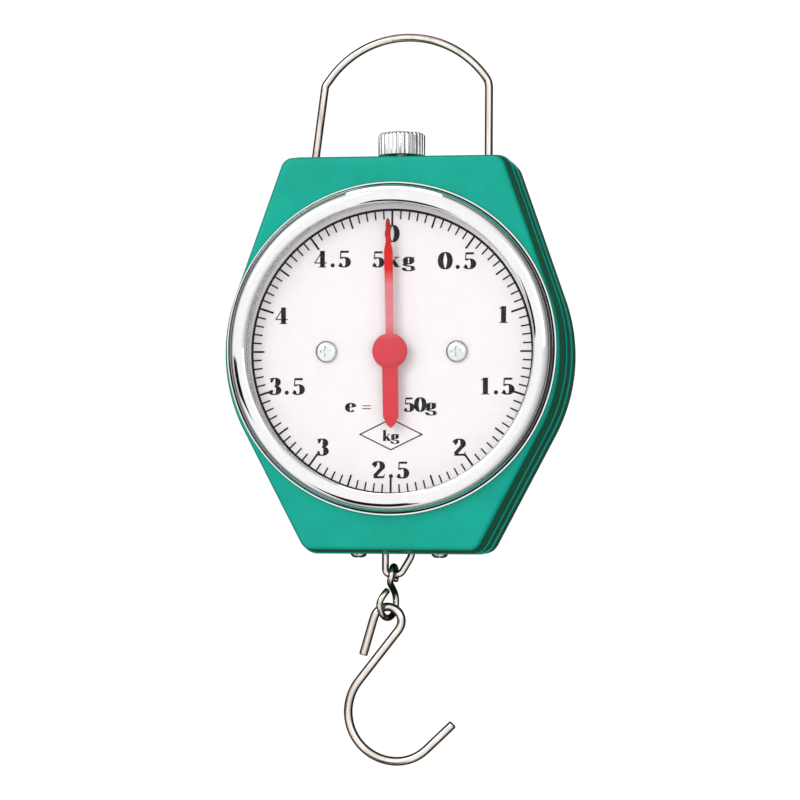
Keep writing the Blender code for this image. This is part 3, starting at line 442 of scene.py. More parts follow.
def glass(name):
    """Clear lens: glass that lets light through to the dial, with the faint smear of handling."""
    material, tree, shader = new_material(name)
    shader.inputs["Base Color"].default_value = (0.97, 0.98, 0.98, 1.0)
    shader.inputs["Transmission Weight"].default_value = 1.0
    shader.inputs["IOR"].default_value = 1.2
    coordinates = tree.nodes.new("ShaderNodeTexCoord").outputs["Object"]
    smear = noise(tree, coordinates, 60.0)
    tree.links.new(spread(tree, smear, 0.0, 0.03), shader.inputs["Roughness"])
    clear = tree.nodes.new("ShaderNodeBsdfTransparent")
    path = tree.nodes.new("ShaderNodeLightPath")
    mix = tree.nodes.new("ShaderNodeMixShader")
    tree.links.new(path.outputs["Is Shadow Ray"], mix.inputs["Fac"])
    tree.links.new(shader.outputs["BSDF"], mix.inputs[1])
    tree.links.new(clear.outputs["BSDF"], mix.inputs[2])
    tree.links.new(mix.outputs["Shader"], tree.nodes["Material Output"].inputs["Surface"])
    return material


def make_finishes():
    finishes = {
        "green": finish(
            "green_plastic", (0.003, 0.385, 0.285), 0.36, mottle=0.06, grain_height=0.000012, specular=0.15
        ),
        "chrome": finish(
            "bright_chrome", (0.93, 0.93, 0.94), 0.06, 1.0,
            mottle=0.02, mottle_scale=500.0, grain_height=0.000002,
        ),
        "nickel": finish(
            "nickel_wire", (0.93, 0.86, 0.8), 0.17, 1.0,
            mottle=0.12, mottle_scale=260.0, grain_scale=1800.0, grain_height=0.00003,
            stretch=(1.0, 1.0, 0.15), stain=(0.36, 0.27, 0.22),
        ),
        "knob": finish("knob_plate", (0.86, 0.86, 0.87), 0.16, 1.0, mottle=0.05, grain_height=0.000006),
        "paper": finish(
            "dial_paint", (0.78, 0.73, 0.745), 0.5, mottle=0.015, mottle_scale=300.0, specular=0.2
        ),
        "ink": finish(
            "dial_ink", (0.011, 0.01, 0.013), 0.6, mottle=0.3, mottle_scale=900.0, specular=0.08
        ),
        # The pointer's red carries a painted reflection along its middle.
        "red": lacquer_and_painted_sheen("pointer_lacquer_and_painted_sheen"),
        # Painted shade: the light spacer ring is coloured a speckled mid grey, the shade that lies under the
        # bezel's lip.
        "spacer": finish(
            "spacer_ring", (0.58, 0.555, 0.57), 0.4, mottle=0.4, mottle_scale=1100.0, grain_height=0.00003
        ),
        # Near-black ring at the bezel's foot: painted shadow of the gap there.
        "shadow_ring": finish(
            "bezel_shadow_ring", (0.012, 0.011, 0.011), 0.6, mottle=0.3, mottle_scale=500.0, specular=0.1
        ),
        "steel": finish("bright_steel", (0.85, 0.85, 0.86), 0.26, 1.0, mottle=0.06, grain_height=0.00001),
        "sheet": finish(
            "frame_steel", (0.46, 0.47, 0.48), 0.42, 1.0,
            mottle=0.14, mottle_scale=140.0, grain_height=0.00003, stretch=(1.0, 1.0, 0.2),
        ),
        "spring": finish("spring_steel", (0.34, 0.34, 0.36), 0.3, 1.0, mottle=0.1, mottle_scale=400.0),
        "brass": finish("brass", (0.78, 0.57, 0.24), 0.28, 1.0, mottle=0.1, mottle_scale=200.0),
        "nylon": finish("nylon", (0.82, 0.8, 0.73), 0.55, mottle=0.04),
        "glass": glass("lens_glass"),
    }
    # Paint shade and dark reflections onto the edges of some finishes.
    for kind, stops in PAINTED_EDGE_SHADE.items():
        paint_edge_shade(finishes[kind], stops)
    return finishes


# Painted shade: how each finish darkens towards its edges, from 0 where it faces the viewer to 1 where it is
# edge on.
PLAIN = (1.0, 1.0, 1.0)
PAINTED_EDGE_SHADE = {
    "green": [(0.35, PLAIN), (0.76, (0.24, 0.4, 0.24)), (0.93, (0.12, 0.22, 0.12))],
    "chrome": [(0.5, PLAIN), (0.75, (0.4, 0.4, 0.4)), (1.0, (0.2, 0.2, 0.2))],
    "nickel": [(0.07, PLAIN), (0.24, (0.26, 0.19, 0.16)), (0.7, (0.03, 0.02, 0.02))],
    "knob": [(0.35, PLAIN), (0.6, (0.3, 0.3, 0.3)), (1.0, (0.1, 0.1, 0.1))],
    "steel": [(0.22, PLAIN), (0.45, (0.2, 0.2, 0.2)), (1.0, (0.05, 0.05, 0.05))],
    "red": [(0.3, PLAIN), (0.75, (0.4, 0.35, 0.35)), (1.0, (0.2, 0.15, 0.15))],
}

# Which finish each carried-over CAD node takes.
NODE_FINISHES = {
    "steel": ["pointer_arbor", "zero_spindle", "spring_carrier", "draw_bar"]
    + [f"frame_pillar_{place}" for place in ("top_left", "top_right", "bottom_left", "bottom_right")],
    "brass": ["front_bush", "rear_bush", "drive_pinion", "drive_rack", "rack_rivet_lower", "rack_rivet_upper"]
    + ["dial_spacer_left", "dial_spacer_right"],
    "sheet": ["main_frame", "front_bridge"],
    "spring": ["spindle_clip"],
    "nylon": ["rack_guide"],
    "spacer": ["lens_spacer_ring"],
}


def settle(piece, material, body, slot, *nodes):
    """Give a piece its finish and body, and hide the CAD nodes that it stands for. The slot is not used."""
    piece.data.materials.clear()
    piece.data.materials.append(material)
    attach(piece, body)
    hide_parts(*nodes)
    return piece


# ---------------------------------------------------------------- housing


def rounded_polygon(corners):
    """An outline through corners of (x, height, radius, arc steps), with its straight edges divided."""
    outline = []
    count = len(corners)
    for i, (x, height, radius, steps) in enumerate(corners):
        here = Vector((x, height))
        before = (Vector(corners[i - 1][:2]) - here).normalized()
        after = (Vector(corners[(i + 1) % count][:2]) - here).normalized()
        half = before.angle(after) / 2.0
        centre = here + (before + after).normalized() * radius / math.sin(half)
        start = here + before * radius / math.tan(half)
        end = here + after * radius / math.tan(half)
        sweep = (start - centre).angle_signed(end - centre)
        if outline:
            last = Vector(outline[-1])
            outline += [tuple(last.lerp(start, step / EDGE_STEPS)) for step in range(1, EDGE_STEPS)]
        for step in range(steps + 1):
            outline.append(tuple(centre + Matrix.Rotation(-sweep * step / steps, 2) @ (start - centre)))
    last, first = Vector(outline[-1]), Vector(outline[0])
    outline += [tuple(last.lerp(first, step / EDGE_STEPS)) for step in range(1, EDGE_STEPS)]
    return outline


def housing_outline(offset):
    """The housing's outline moved out by an offset: six straight sides with rounded corners."""
    distance = SIDE_DISTANCE + offset
    top, bottom = TOP + offset, BOTTOM - offset
    top_x = (distance - top * math.sin(UPPER_TILT)) / math.cos(UPPER_TILT)
    bottom_x = (distance + bottom * math.sin(LOWER_TILT)) / math.cos(LOWER_TILT)
    waist_z = distance * (math.cos(LOWER_TILT) - math.cos(UPPER_TILT)) / math.sin(UPPER_TILT + LOWER_TILT)
    waist_x = (distance - waist_z * math.sin(UPPER_TILT)) / math.cos(UPPER_TILT)
    corner = max(CORNER_RADIUS + offset, 1.5)
    right = [
        (bottom_x, bottom, corner, CORNER_STEPS),
        (waist_x, waist_z, distance, WAIST_STEPS),
        (top_x, top, corner, CORNER_STEPS),
    ]
    left = [(-x, height, radius, steps) for x, height, radius, steps in reversed(right)]
    return rounded_polygon(right + left)


def outline_ring(offset, depth):
    return [at(x, depth, height) for x, height in housing_outline(offset)]


def opening_ring(radius, depth):
    """A circle about the bezel's centre, whose points face those of the housing's outline."""
    ring = []
    for x, height in housing_outline(0.0):
        angle = math.atan2(height - BEZEL_LIFT, x)
        ring.append(at(radius * math.cos(angle), depth, BEZEL_LIFT + radius * math.sin(angle)))
    return ring


def make_front_shell(finishes):
    """Front moulding: flat face with a rolled edge, drafted sides, a lip at the parting, a round collar."""
    fillet = 1.6
    rings = [
        outline_ring(-fillet + fillet * math.sin(turn), FACE + fillet - fillet * math.cos(turn))
        for turn in (math.radians(15.0 * step) for step in range(7))
    ]
    sides = [(0.75, 8.3), (0.98, 8.42), (1.12, 8.62), (1.15, 8.8), (1.15, 9.35), (1.02, PARTING)]
    inside = [(-1.2, PARTING), (-2.0, 0.5)]
    rings += [outline_ring(offset, depth) for offset, depth in sides + inside]
    collar = [(47.3, 0.5), (47.3, -4.6), (47.5, -4.8), (48.7, -4.8), (48.9, -4.6), (48.9, FACE)]
    rings += [opening_ring(radius, depth) for radius, depth in collar]
    builder = bmesh.new()
    add_loft(builder, rings, closed=True)
    shell = new_piece("front_shell", builder)
    for x, height in REAR_SCREWS.values():
        boss = [(0.0, 2.8), (29.0, 2.8), (29.0, 1.8), (17.0, 1.8)]
        join(shell, turned("boss", at(x, 0.0, height), (0, 1, 0), boss, 32))
    return settle(shell, finishes["green"], "housing", "front_cover", "front_cover")


def make_rear_shell(finishes):
    """Rear moulding: a deep tray with a stepped side, a rolled back edge, and holes for wires and screws."""
    floor = BACK - 2.4
    inside = [(-3.0, floor), (-2.2, floor - 0.3), (-1.6, floor - 1.2), (-1.2, PARTING + 0.3)]
    outside = [(0.6, PARTING + 0.3), (0.75, PARTING + 0.45), (0.55, 21.9)]
    step_out = [(0.9, 22.0), (1.1, 22.15), (1.15, 22.4)]
    rolled = [(-1.8 + 2.7 * math.cos(turn), 31.5 + 3.0 * math.sin(turn)) for turn in quarter_turn(8)]
    groove = [(-4.0, BACK), (-4.2, BACK - 0.35), (-4.8, BACK - 0.35), (-5.0, BACK)]
    rings = [outline_ring(offset, depth) for offset, depth in inside + outside + step_out + rolled + groove]
    shell = loft("rear_shell", rings, closed=False)
    for x, height in REAR_SCREWS.values():
        back = at(x, BACK, height)
        join(shell, turned("pad", back, (0, -1, 0), [(1.9, 4.6), (5.2, 4.6)], 40))
        recess = [(-1.0, 3.7), (0.0, 3.6), (0.3, 3.3), (2.6, 3.3), (2.6, 1.8), (7.0, 1.8)]
        cut(shell, turned("recess", back, (0, -1, 0), recess, 40))
    for x in BAIL_SLOTS:
        cut(shell, box_tool((x - 1.9, WIRE_DEPTH - 3.6, 56.0), (x + 1.9, WIRE_DEPTH + 3.6, 64.0)))
    cut(shell, turned("spindle_hole", at(0, WIRE_DEPTH, 0), (0, 0, 1), [(56.0, 2.6), (64.0, 2.6)], 40))
    cut(shell, box_tool((-7.0, 13.0, -64.0), (7.0, 19.0, -56.0)))
    for x in (-BOTTOM_SCREW_X, BOTTOM_SCREW_X):
        cut(shell, turned("hole", at(x, WIRE_DEPTH, 0), (0, 0, 1), [(-64.0, 1.8), (-56.0, 1.8)], 32))
    return settle(shell, finishes["green"], "housing", "rear_cover", "rear_cover")


def quarter_turn(steps):
    return [math.radians(90.0 * step / steps) for step in range(steps + 1)]


# ---------------------------------------------------------------- bezel, lens and dial


def make_bezel(finishes):
    """Rolled chrome ring with a soft crown and a thin flange at its foot."""
    crown = [
        (-5.2, 44.3),
        (-5.8, 44.35),
        (-6.35, 45.2),
        (-6.55, 46.6),
        (-6.1, 48.2),
        (-5.0, 49.4),
        (-3.6, 50.0),
        (-2.55, 50.0),
    ]
    flange = [(-2.42, 50.1), (-2.35, 50.9), (-2.2, 51.0), (-1.8, 51.0), (-1.8, 49.3), (-5.2, 49.3)]
    profile = [tuple(point) for point in smooth_through(crown, 5)] + flange
    centre = at(0, 0, BEZEL_LIFT)
    bezel = turned("bezel", centre, (0, 1, 0), profile, BEZEL_STEPS, closed=True, smooth_degrees=40.0)
    return settle(bezel, finishes["chrome"], "housing", "bezel_ring", "bezel_ring")


def make_shadow_ring(finishes):
    """Thin near-black ring in the corner between the bezel's crown and its flange: a painted shadow line,
    where there is only the shade of the gap.
    """
    profile = [(-2.75, 49.9), (-2.75, 50.25), (-2.6, 50.5), (-2.38, 50.5), (-2.38, 49.9)]
    seal = turned("bezel_shadow_ring", at(0, 0, BEZEL_LIFT), (0, 1, 0), profile, BEZEL_STEPS, closed=True)
    return settle(seal, finishes["shadow_ring"], "housing", "bezel_ring")


def make_lens(finishes):
    profile = [(-4.9, 46.75), (-4.75, 46.9), (-4.05, 46.9), (-3.9, 46.75)]
    lens = turned("lens", at(0, 0, BEZEL_LIFT), (0, 1, 0), profile)
    return settle(lens, finishes["glass"], "housing", "dial_lens", "dial_lens")


def make_dial(finishes):
    """Painted disc with holes for the arbor and for its two screws, and a soft edge."""
    profile = [(0.0, 46.72), (0.08, 46.8), (0.42, 46.8), (0.5, 46.72)]
    dial = turned("dial", at(0, 0, BEZEL_LIFT), (0, 1, 0), profile)
    cut(dial, turned("hole", at(0, 0, 0), (0, 1, 0), [(-1.0, 2.0), (2.0, 2.0)], 40))
    for x in (-DIAL_SCREW_X, DIAL_SCREW_X):
        cut(dial, turned("hole", at(x, 0, 0), (0, 1, 0), [(-1.0, 1.8), (2.0, 1.8)], 32))
    return settle(dial, finishes["paper"], "housing", "dial_plate", "dial_plate")


def add_strip(builder, left, right, closed=False):
    """A thin printed strip between two rows of (x, height), standing just proud of the dial."""
    rows = [
        [builder.verts.new(at(x, depth, height)) for x, height in side]
        for side, depth in ((left, INK_FRONT), (right, INK_FRONT), (right, 0.0), (left, 0.0))
    ]
    count = len(left)
    for i in range(count if closed else count - 1):
        j = (i + 1) % count
        for first, second in zip(rows, rows[1:] + rows[:1]):
            builder.faces.new((first[i], first[j], second[j], second[i]))
    if not closed:
        for i in (0, count - 1):
            builder.faces.new([row[i] for row in rows])


def add_circle_strip(builder, centre, radius, width):
    inner = arc(centre, radius - width / 2.0, 0, 360, ROUND_STEPS)[:-1]
    outer = arc(centre, radius + width / 2.0, 0, 360, ROUND_STEPS)[:-1]
    add_strip(builder, inner, outer, closed=True)


def make_scale_print(finishes):
    """The ring round the scale and its hundred ticks, longer at each fifth and tenth."""
    builder = bmesh.new()
    add_circle_strip(builder, (0.0, 0.0), RING_RADIUS, 0.75)
    for tick in range(TICK_COUNT):
        angle = 2.0 * math.pi * tick / TICK_COUNT
        outward = Vector((math.sin(angle), math.cos(angle)))
        length, width = 2.9, 0.48
        if tick % 10 == 0:
            length, width = 4.7, 0.64
        elif tick % 5 == 0:
            length, width = 3.8, 0.58
        sideways = Vector((outward.y, -outward.x)) * width / 2.0
        ends = [outward * (RING_RADIUS - length), outward * RING_RADIUS]
        add_strip(builder, [end - sideways for end in ends], [end + sideways for end in ends])
    ring = new_piece("dial_scale_print", builder)
    return settle(ring, finishes["ink"], "housing", "dial_plate")


# ---------------------------------------------------------------- lettering


THICK, THIN = 0.128, 0.034
STRETCH = 1.3


def pen(points, closed=False):
    """A stroke that is thick where it runs up or down and thin where it runs across, as (points, widths)."""
    points = [Vector(point) for point in points]
    widths = []
    count = len(points)
    for i in range(count):
        if closed:
            run = points[(i + 1) % count] - points[i - 1]
        else:
            run = points[min(i + 1, count - 1)] - points[max(i - 1, 0)]
        steepness = abs(run.normalized().y)
        widths.append(THIN + (THICK - THIN) * steepness**2.2)
    return points, widths, closed


def bar(start, end, half_width):
    return [Vector(start), Vector(end)], [half_width] * 2, False


def serif(start, end):
    return bar((start, 0.024), (end, 0.024), 0.024)


def ball(x, y, radius):
    """A round blob at a stroke's end, as a short stroke whose width swells and shrinks."""
    turns = [math.radians(15 * i) for i in range(1, 12)]
    points = [Vector((x - radius / STRETCH * math.cos(turn), y)) for turn in turns]
    widths = [radius * math.sin(turn) for turn in turns]
    return points, widths, False


def oval(x, y, half_width, half_height, start=0.0, end=360.0, steps=28):
    return arc((x, y), half_width, start, end, steps, half_height / half_width)


GLYPHS = {
    "0": (0.64, [pen(oval(0.32, 0.5, 0.215, 0.475)[:-1], closed=True)]),
    "1": (
        0.5,
        [
            bar((0.27, 0.02), (0.27, 0.985), 0.115),
            bar((0.08, 0.84), (0.27, 0.955), 0.03),
            serif(0.07, 0.47),
        ],
    ),
    "2": (
        0.6,
        [
            pen(oval(0.27, 0.71, 0.185, 0.265, 170, -28) + [(0.31, 0.42), (0.1, 0.12)]),
            bar((0.06, 0.065), (0.52, 0.065), 0.065),
            bar((0.52, 0.04), (0.555, 0.25), 0.022),
            ball(0.115, 0.72, 0.08),
        ],
    ),
    "3": (
        0.58,
        [
            pen(oval(0.26, 0.745, 0.165, 0.23, 150, -88)),
            pen(oval(0.25, 0.265, 0.205, 0.245, 88, -150)),
            ball(0.125, 0.79, 0.075),
            ball(0.105, 0.2, 0.08),
        ],
    ),
    "4": (
        0.62,
        [
            bar((0.4, 0.0), (0.4, 0.985), 0.11),
            bar((0.39, 0.96), (0.05, 0.29), 0.026),
            bar((0.03, 0.27), (0.6, 0.27), 0.032),
            serif(0.22, 0.57),
        ],
    ),
    "5": (
        0.58,
        [
            bar((0.12, 0.92), (0.49, 0.92), 0.065),
            bar((0.125, 0.96), (0.105, 0.5), 0.026),
            pen(oval(0.26, 0.305, 0.205, 0.285, 128, -150)),
            ball(0.11, 0.19, 0.08),
        ],
    ),
    ".": (0.5, [ball(0.25, 0.125, 0.125)]),
    "k": (
        0.62,
        [
            bar((0.15, 0.02), (0.15, 0.98), 0.1),
            bar((0.16, 0.24), (0.47, 0.6), 0.026),
            bar((0.27, 0.4), (0.48, 0.03), 0.095),
            serif(0.03, 0.29),
            serif(0.36, 0.62),
            bar((0.34, 0.61), (0.58, 0.61), 0.024),
            bar((0.04, 0.96), (0.16, 0.96), 0.024),
        ],
    ),
    "g": (
        0.58,
        [
            pen(oval(0.26, 0.4, 0.15, 0.2)[:-1], closed=True),
            pen([(0.14, 0.24), (0.09, 0.15), (0.15, 0.08), (0.34, 0.05), (0.45, 0.0), (0.47, -0.1)]),
            pen(oval(0.27, -0.1, 0.2, 0.13, 0, -200)),
            bar((0.38, 0.54), (0.55, 0.6), 0.03),
        ],
    ),
    "e": (0.54, [pen(oval(0.27, 0.3, 0.19, 0.285, 8, 318)), bar((0.1, 0.33), (0.45, 0.33), 0.026)]),
    "=": (0.62, [bar((0.08, 0.22), (0.54, 0.22), 0.03), bar((0.08, 0.42), (0.54, 0.42), 0.03)]),
    " ": (0.3, []),
}


def add_stroke(builder, stroke, origin, size):
    points, widths, closed = stroke
    count = len(points)
    left, right = [], []
    for i, (point, width) in enumerate(zip(points, widths)):
        if closed:
            run = points[(i + 1) % count] - points[i - 1]
        else:
            run = points[min(i + 1, count - 1)] - points[max(i - 1, 0)]
        across = Vector((-run.y, run.x)).normalized() * width
        for side, edge in ((left, point + across), (right, point - across)):
            side.append(origin + Vector((edge.x * STRETCH, edge.y)) * size)
    add_strip(builder, left, right, closed)


def add_text(builder, text, x, height, size, spacing=0.0):
    """Lettering centred on (x, height), its capitals as tall as size, with extra spacing between letters."""
    width = (sum(GLYPHS[letter][0] for letter in text) + spacing * (len(text) - 1)) * size * STRETCH
    cursor = x - width / 2.0
    for letter in text:
        advance, strokes = GLYPHS[letter]
        for stroke in strokes:
            add_stroke(builder, stroke, Vector((cursor, height - size / 2.0)), size)
        cursor += (advance + spacing) * size * STRETCH


def make_numbers(finishes):
    builder = bmesh.new()
    for step in range(NUMBER_STEPS):
        angle = 2.0 * math.pi * step / NUMBER_STEPS
        whole = step % 2 == 0
        text = str(step // 2) if whole else f"{FULL_LOAD * step / NUMBER_STEPS:.1f}"
        radius = WHOLE_NUMBER_RADIUS if whole else HALF_NUMBER_RADIUS
        shift_x, shift_height = NUMBER_SHIFTS.get(text, (0.0, 0.0))
        x, height = radius * math.sin(angle) + shift_x, radius * math.cos(angle) + shift_height
        add_text(builder, text, x, height, NUMBER_HEIGHT)
    numbers = new_piece("dial_numbers_print", builder)
    return settle(numbers, finishes["ink"], "housing", "dial_plate")


def make_legend(finishes):
    """The greatest load, the division, and a thin rhombus round the unit."""
    builder = bmesh.new()
    add_text(builder, "5kg", 0.5, 28.3, 5.0, spacing=0.14)
    add_text(builder, "e", -12.5, -16.2, 4.4)
    add_text(builder, "=", -7.6, -16.2, 4.4)
    add_text(builder, "50g", 9.0, -16.2, 4.4)
    middle = Vector((0.0, -25.3))
    corners = [Vector((10.0, 0.0)), Vector((0.0, 4.9)), Vector((-10.0, 0.0)), Vector((0.0, -4.9))]
    outer = [middle + corner for corner in corners]
    inner = [middle + corner * 0.915 for corner in corners]
    add_strip(builder, inner, outer, closed=True)
    add_text(builder, "kg", 0.0, -25.6, 3.4)
    legend = new_piece("dial_legend_print", builder)
    return settle(legend, finishes["ink"], "housing", "dial_plate")


def make_pointer(finishes):
    """Flat lacquered pointer with a domed hub and a broad tail, a little short of zero at rest."""
    half = [
        (0.0, 40.6),
        (0.45, 39.9),
        (0.62, 38.6),
        (0.66, 33.4),
        (1.2, 30.6),
        (1.2, 28.0),
        (1.05, 5.2),
    ]
    half += arc((0.0, 0.0), 5.3, 74, -64, 14)
    half += [(2.25, -20.0), (1.2, -22.3)]
    outline = half + [(0.0, -23.4)] + [(-x, height) for x, height in reversed(half[1:])]
    turn = Matrix.Rotation(math.radians(1.2), 2)
    outline = [turn @ Vector(point) for point in outline]
    bevel = 0.12
    rings = []
    for depth, shrink in ((-2.2, 0.0), (-3.2 + bevel, 0.0), (-3.2, bevel)):
        rings.append([at(point.x, depth, point.y) for point in inset(outline, shrink)])
    pointer = loft("pointer_hand", rings, closed=False)
    hub = [(-3.75, 3.2), (-3.7, 4.1), (-3.5, 4.8), (-3.2, 5.2), (-2.0, 5.2), (-1.6, 4.6), (-1.5, 3.0)]
    join(pointer, turned("hub", at(0, 0, 0), (0, 1, 0), hub, 64))
    cut(pointer, turned("bore", at(0, 0, 0), (0, 1, 0), [(-3.1, 1.3), (0.0, 1.3)], 32))
    return settle(pointer, finishes["red"], "pointer", "pointer", "pointer")


def inset(outline, distance):
    """An outline moved inwards by a distance, corner by corner."""
    moved = []
    count = len(outline)
    for i, point in enumerate(outline):
        along = (outline[(i + 1) % count] - outline[i - 1]).normalized()
        moved.append(point - Vector((along.y, -along.x)) * distance)
    return moved


# ---------------------------------------------------------------- screws and knob


def make_screw(name, head_base, axis, radius, height, shank, finishes):
    """Domed screw with a cross recess. The axis points out of the head."""
    axis = Vector(axis)
    dome = [
        (height * math.sin(turn), radius * (0.35 + 0.65 * math.cos(turn)))
        for turn in (math.radians(15.0 * step) for step in range(1, 7))
    ]
    profile = [(-shank, 1.2), (-shank + 0.4, 1.5), (0.0, 1.5), (0.0, radius * 0.97), (height * 0.12, radius)]
    screw = turned(name, head_base, axis, profile + dome, 56)
    centre = head_base + axis * height * MM
    across = Vector((1, 0, 0))
    other = axis.cross(across)
    arm, half_slot = 1.7, 0.36
    for half_length, half_width in ((arm, half_slot), (half_slot, arm)):
        corners = ((1, 1), (-1, 1), (-1, -1), (1, -1))
        rings = [
            [
                centre + (axis * lift + across * a * half_length + other * b * half_width) * MM
                for a, b in corners
            ]
            for lift in (-height * 0.6, 1.0)
        ]
        cut(screw, loft("recess", rings, closed=False))
    return settle(screw, finishes["steel"], "housing", name_of_node(name), name_of_node(name))


def name_of_node(name):
    """A fine screw's piece name ends in _fine; its CAD node has the name without that."""
    return name.removesuffix("_fine")


def make_screws(finishes):
    for side, x in (("left", -DIAL_SCREW_X), ("right", DIAL_SCREW_X)):
        make_screw(f"dial_screw_{side}_fine", at(x, -0.3, 0), (0, -1, 0), 3.3, 1.3, 9.6, finishes)
    for side, x in (("left", -BOTTOM_SCREW_X), ("right", BOTTOM_SCREW_X)):
        base = at(x, WIRE_DEPTH, BOTTOM - 0.9)
        make_screw(f"bottom_screw_{side}_fine", base, (0, 0, -1), 2.6, 1.4, 6.5, finishes)
    for place, (x, height) in REAR_SCREWS.items():
        base = at(x, BACK - 2.3, height)
        make_screw(f"rear_screw_{place}_fine", base, (0, 1, 0), 2.9, 1.6, 12.0, finishes)


def make_knob(finishes):
    """Knurled knob: thirty rounded ridges with narrow grooves, chamfered ends and a dished top."""
    ridges, steps_each, groove_depth = 30, 10, 0.6
    foot = at(0, WIRE_DEPTH, 0)
    profile = [
        (61.6, 6.9, 0.8),
        (61.85, 7.3, 1.0),
        (67.9, 7.3, 1.0),
        (68.35, 7.0, 0.7),
        (68.7, 6.4, 0.0),
        (68.7, 5.4, 0.0),
        (68.45, 5.1, 0.0),
        (68.45, 0.6, 0.0),
    ]
    rings = []
    for height, radius, knurl in profile:
        ring = []
        for step in range(ridges * steps_each):
            angle = 2.0 * math.pi * step / (ridges * steps_each)
            groove = (0.5 + 0.5 * math.cos(angle * ridges)) ** 4
            reach = radius - groove_depth * knurl * groove
            ring.append(foot + Vector((reach * math.cos(angle), reach * math.sin(angle), height)) * MM)
        rings.append(ring)
    knob = loft("knurled_knob", rings, closed=False)
    cut(knob, turned("bore", foot, (0, 0, 1), [(60.0, 2.5), (67.0, 2.5)], 32))
    return settle(knob, finishes["knob"], "zero_adjuster", "zero_knob", "zero_knob")


# ---------------------------------------------------------------- wires


def flat_path(path):
    """Frame points of a path of (x, height) in the wires' plane."""
    return [at(x, WIRE_DEPTH, height) for x, height in path]


def make_bail(finishes):
    """Wire bail: feet bent inwards, straight legs, a kink at the left shoulder and a round arch."""
    arch = [Vector((x, 0.0, height)) for x, height in arc((1.7, 68.65), 30.05, 147, 33, 64)]
    left = [Vector((-21.0, 0.0, 51.0)), Vector((-28.5, 0.0, 51.0)), Vector((-24.3, 0.0, 84.2))]
    right = [Vector((27.3, 0.0, 83.4)), Vector((27.3, 0.0, 51.0)), Vector((21.0, 0.0, 51.0))]
    radii = [0.0, FOOT_BEND, 0.0]
    path = rounded_path(left, radii, 10) + arch + rounded_path(right, radii, 10)
    path = relaxed(even(path, 0.6), 2)
    points = [at(point.x, WIRE_DEPTH, point.z) for point in path]
    bail = tube("bail_wire", points, BAIL_RADIUS * MM)
    return settle(bail, finishes["nickel"], "bail", "bail", "bail")


def make_load_loop(finishes):
    """Pointed wire loop whose two ends turn back into the draw bar."""
    corners = [
        (-4.3, 21.0, -27.5),
        (-4.3, 16.0, -27.5),
        (-4.3, 16.0, -68.2),
        (0.6, 16.0, -67.9),
        (3.9, 16.0, -62.3),
        (3.9, 16.0, -27.5),
        (3.9, 21.0, -27.5),
    ]
    radii = [0.0, 1.3, 1.5, 1.5, 3.0, 1.3, 0.0]
    path = rounded_path([Vector(corner) for corner in corners], radii, 8)
    points = [at(*point) for point in relaxed(even(path, 0.5), 2)]
    loop = tube("load_loop_wire", points, LOOP_RADIUS * MM)
    return settle(loop, finishes["nickel"], "load", "load_loop", "load_loop")


def make_link(finishes):
    """S-shaped link with both eyes bent shut and a twist between them."""
    top_centre, low_centre = -68.4, -76.9
    flat = arc((0, top_centre), 2.9, -36, 238, 40) + arc((0, low_centre), 4.2, 58, -240, 60, 4.6 / 4.2)
    top_twist, low_twist = math.radians(86.0), math.radians(62.0)
    path = []
    for sideways, height in flat:
        share = min(max((top_centre - height) / (top_centre - low_centre), 0.0), 1.0)
        twist = top_twist + (low_twist - top_twist) * share
        x = -1.65 - 1.85 * share + sideways * math.cos(twist)
        path.append(at(x, WIRE_DEPTH + sideways * math.sin(twist), height))
    link = tube("swivel_link_wire", relaxed(even(path, 0.4 * MM), 3), LINK_RADIUS * MM)
    return settle(link, finishes["nickel"], "link", "swivel_link", "swivel_link")


def make_hook(finishes):
    """S-hook: a short tail, a tight top bend, a straight neck, and a wide bowl with a raised tip."""
    path = [(-11.1, -93.0)] + arc((-3.5, -82.4), 4.4, 167, -36, 36)
    path += arc((-0.5, -110.4), 15.2, 143, 270, 40)
    path += arc((-0.5, -112.2), 13.4, 270, 314, 16)[1:] + [(17.1, -113.9)]
    points = relaxed(even(flat_path(path), 0.6 * MM), 3)
    hook = tube("s_hook_wire", points, HOOK_RADIUS * MM)
    return settle(hook, finishes["nickel"], "hook", "s_hook", "s_hook")


def make_spring(name, x, finishes):
    """An extension spring in two halves that meet at its middle coil.
    """
    top, bottom, depth, coil_radius = 40.0, -27.0, 18.4, 4.0
    turns, steps_each = 12, 24
    eye, neck, hook_height = 3.0, 8.4, 11.0
    high, low = top - hook_height, bottom + hook_height
    upper = arc((depth, top - eye), eye, 200, -60, 16) + [(depth, top - neck)]
    lower = [(depth, bottom + neck)] + arc((depth, bottom + eye), eye, 60, -200, 16)
    coil = []
    for step in range(turns * steps_each + 1):
        angle = 2.0 * math.pi * step / steps_each
        height = high + (low - high) * step / (turns * steps_each)
        coil.append(at(x + coil_radius * math.sin(angle), depth + coil_radius * math.cos(angle), height))
    middle = len(coil) // 2
    upper_path = [at(x, d, h) for d, h in upper] + coil[: middle + 1]
    lower_path = coil[middle:] + [at(x, d, h) for d, h in lower]
    joint = at(x, depth, (high + low) / 2.0)
    halves = (
        ("upper", upper_path, "spring_carrier", "housing", at(x, depth, high), joint),
        ("lower", lower_path, "housing", "load", joint, at(x, depth, low)),
    )
    for half, path, body_above, body_below, start, end in halves:
        spring = tube(f"{name}_{half}", path, SPRING_RADIUS * MM, sides=10)
        spring.data.materials.append(finishes["spring"])
        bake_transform(spring)
        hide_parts(name)


# ---------------------------------------------------------------- studio


# The camera aims near the dial's centre, from a distance in metres.
CAMERA_AIM = Vector((2.7, 0.0, -14.8)) * MM
CAMERA_DISTANCE = 1.0366
CAMERA_AZIMUTH = math.radians(9.75)
CAMERA_ELEVATION = math.radians(-2.5)
CAMERA_ROLL = math.radians(0.36)
CAMERA_LENS = 153.0

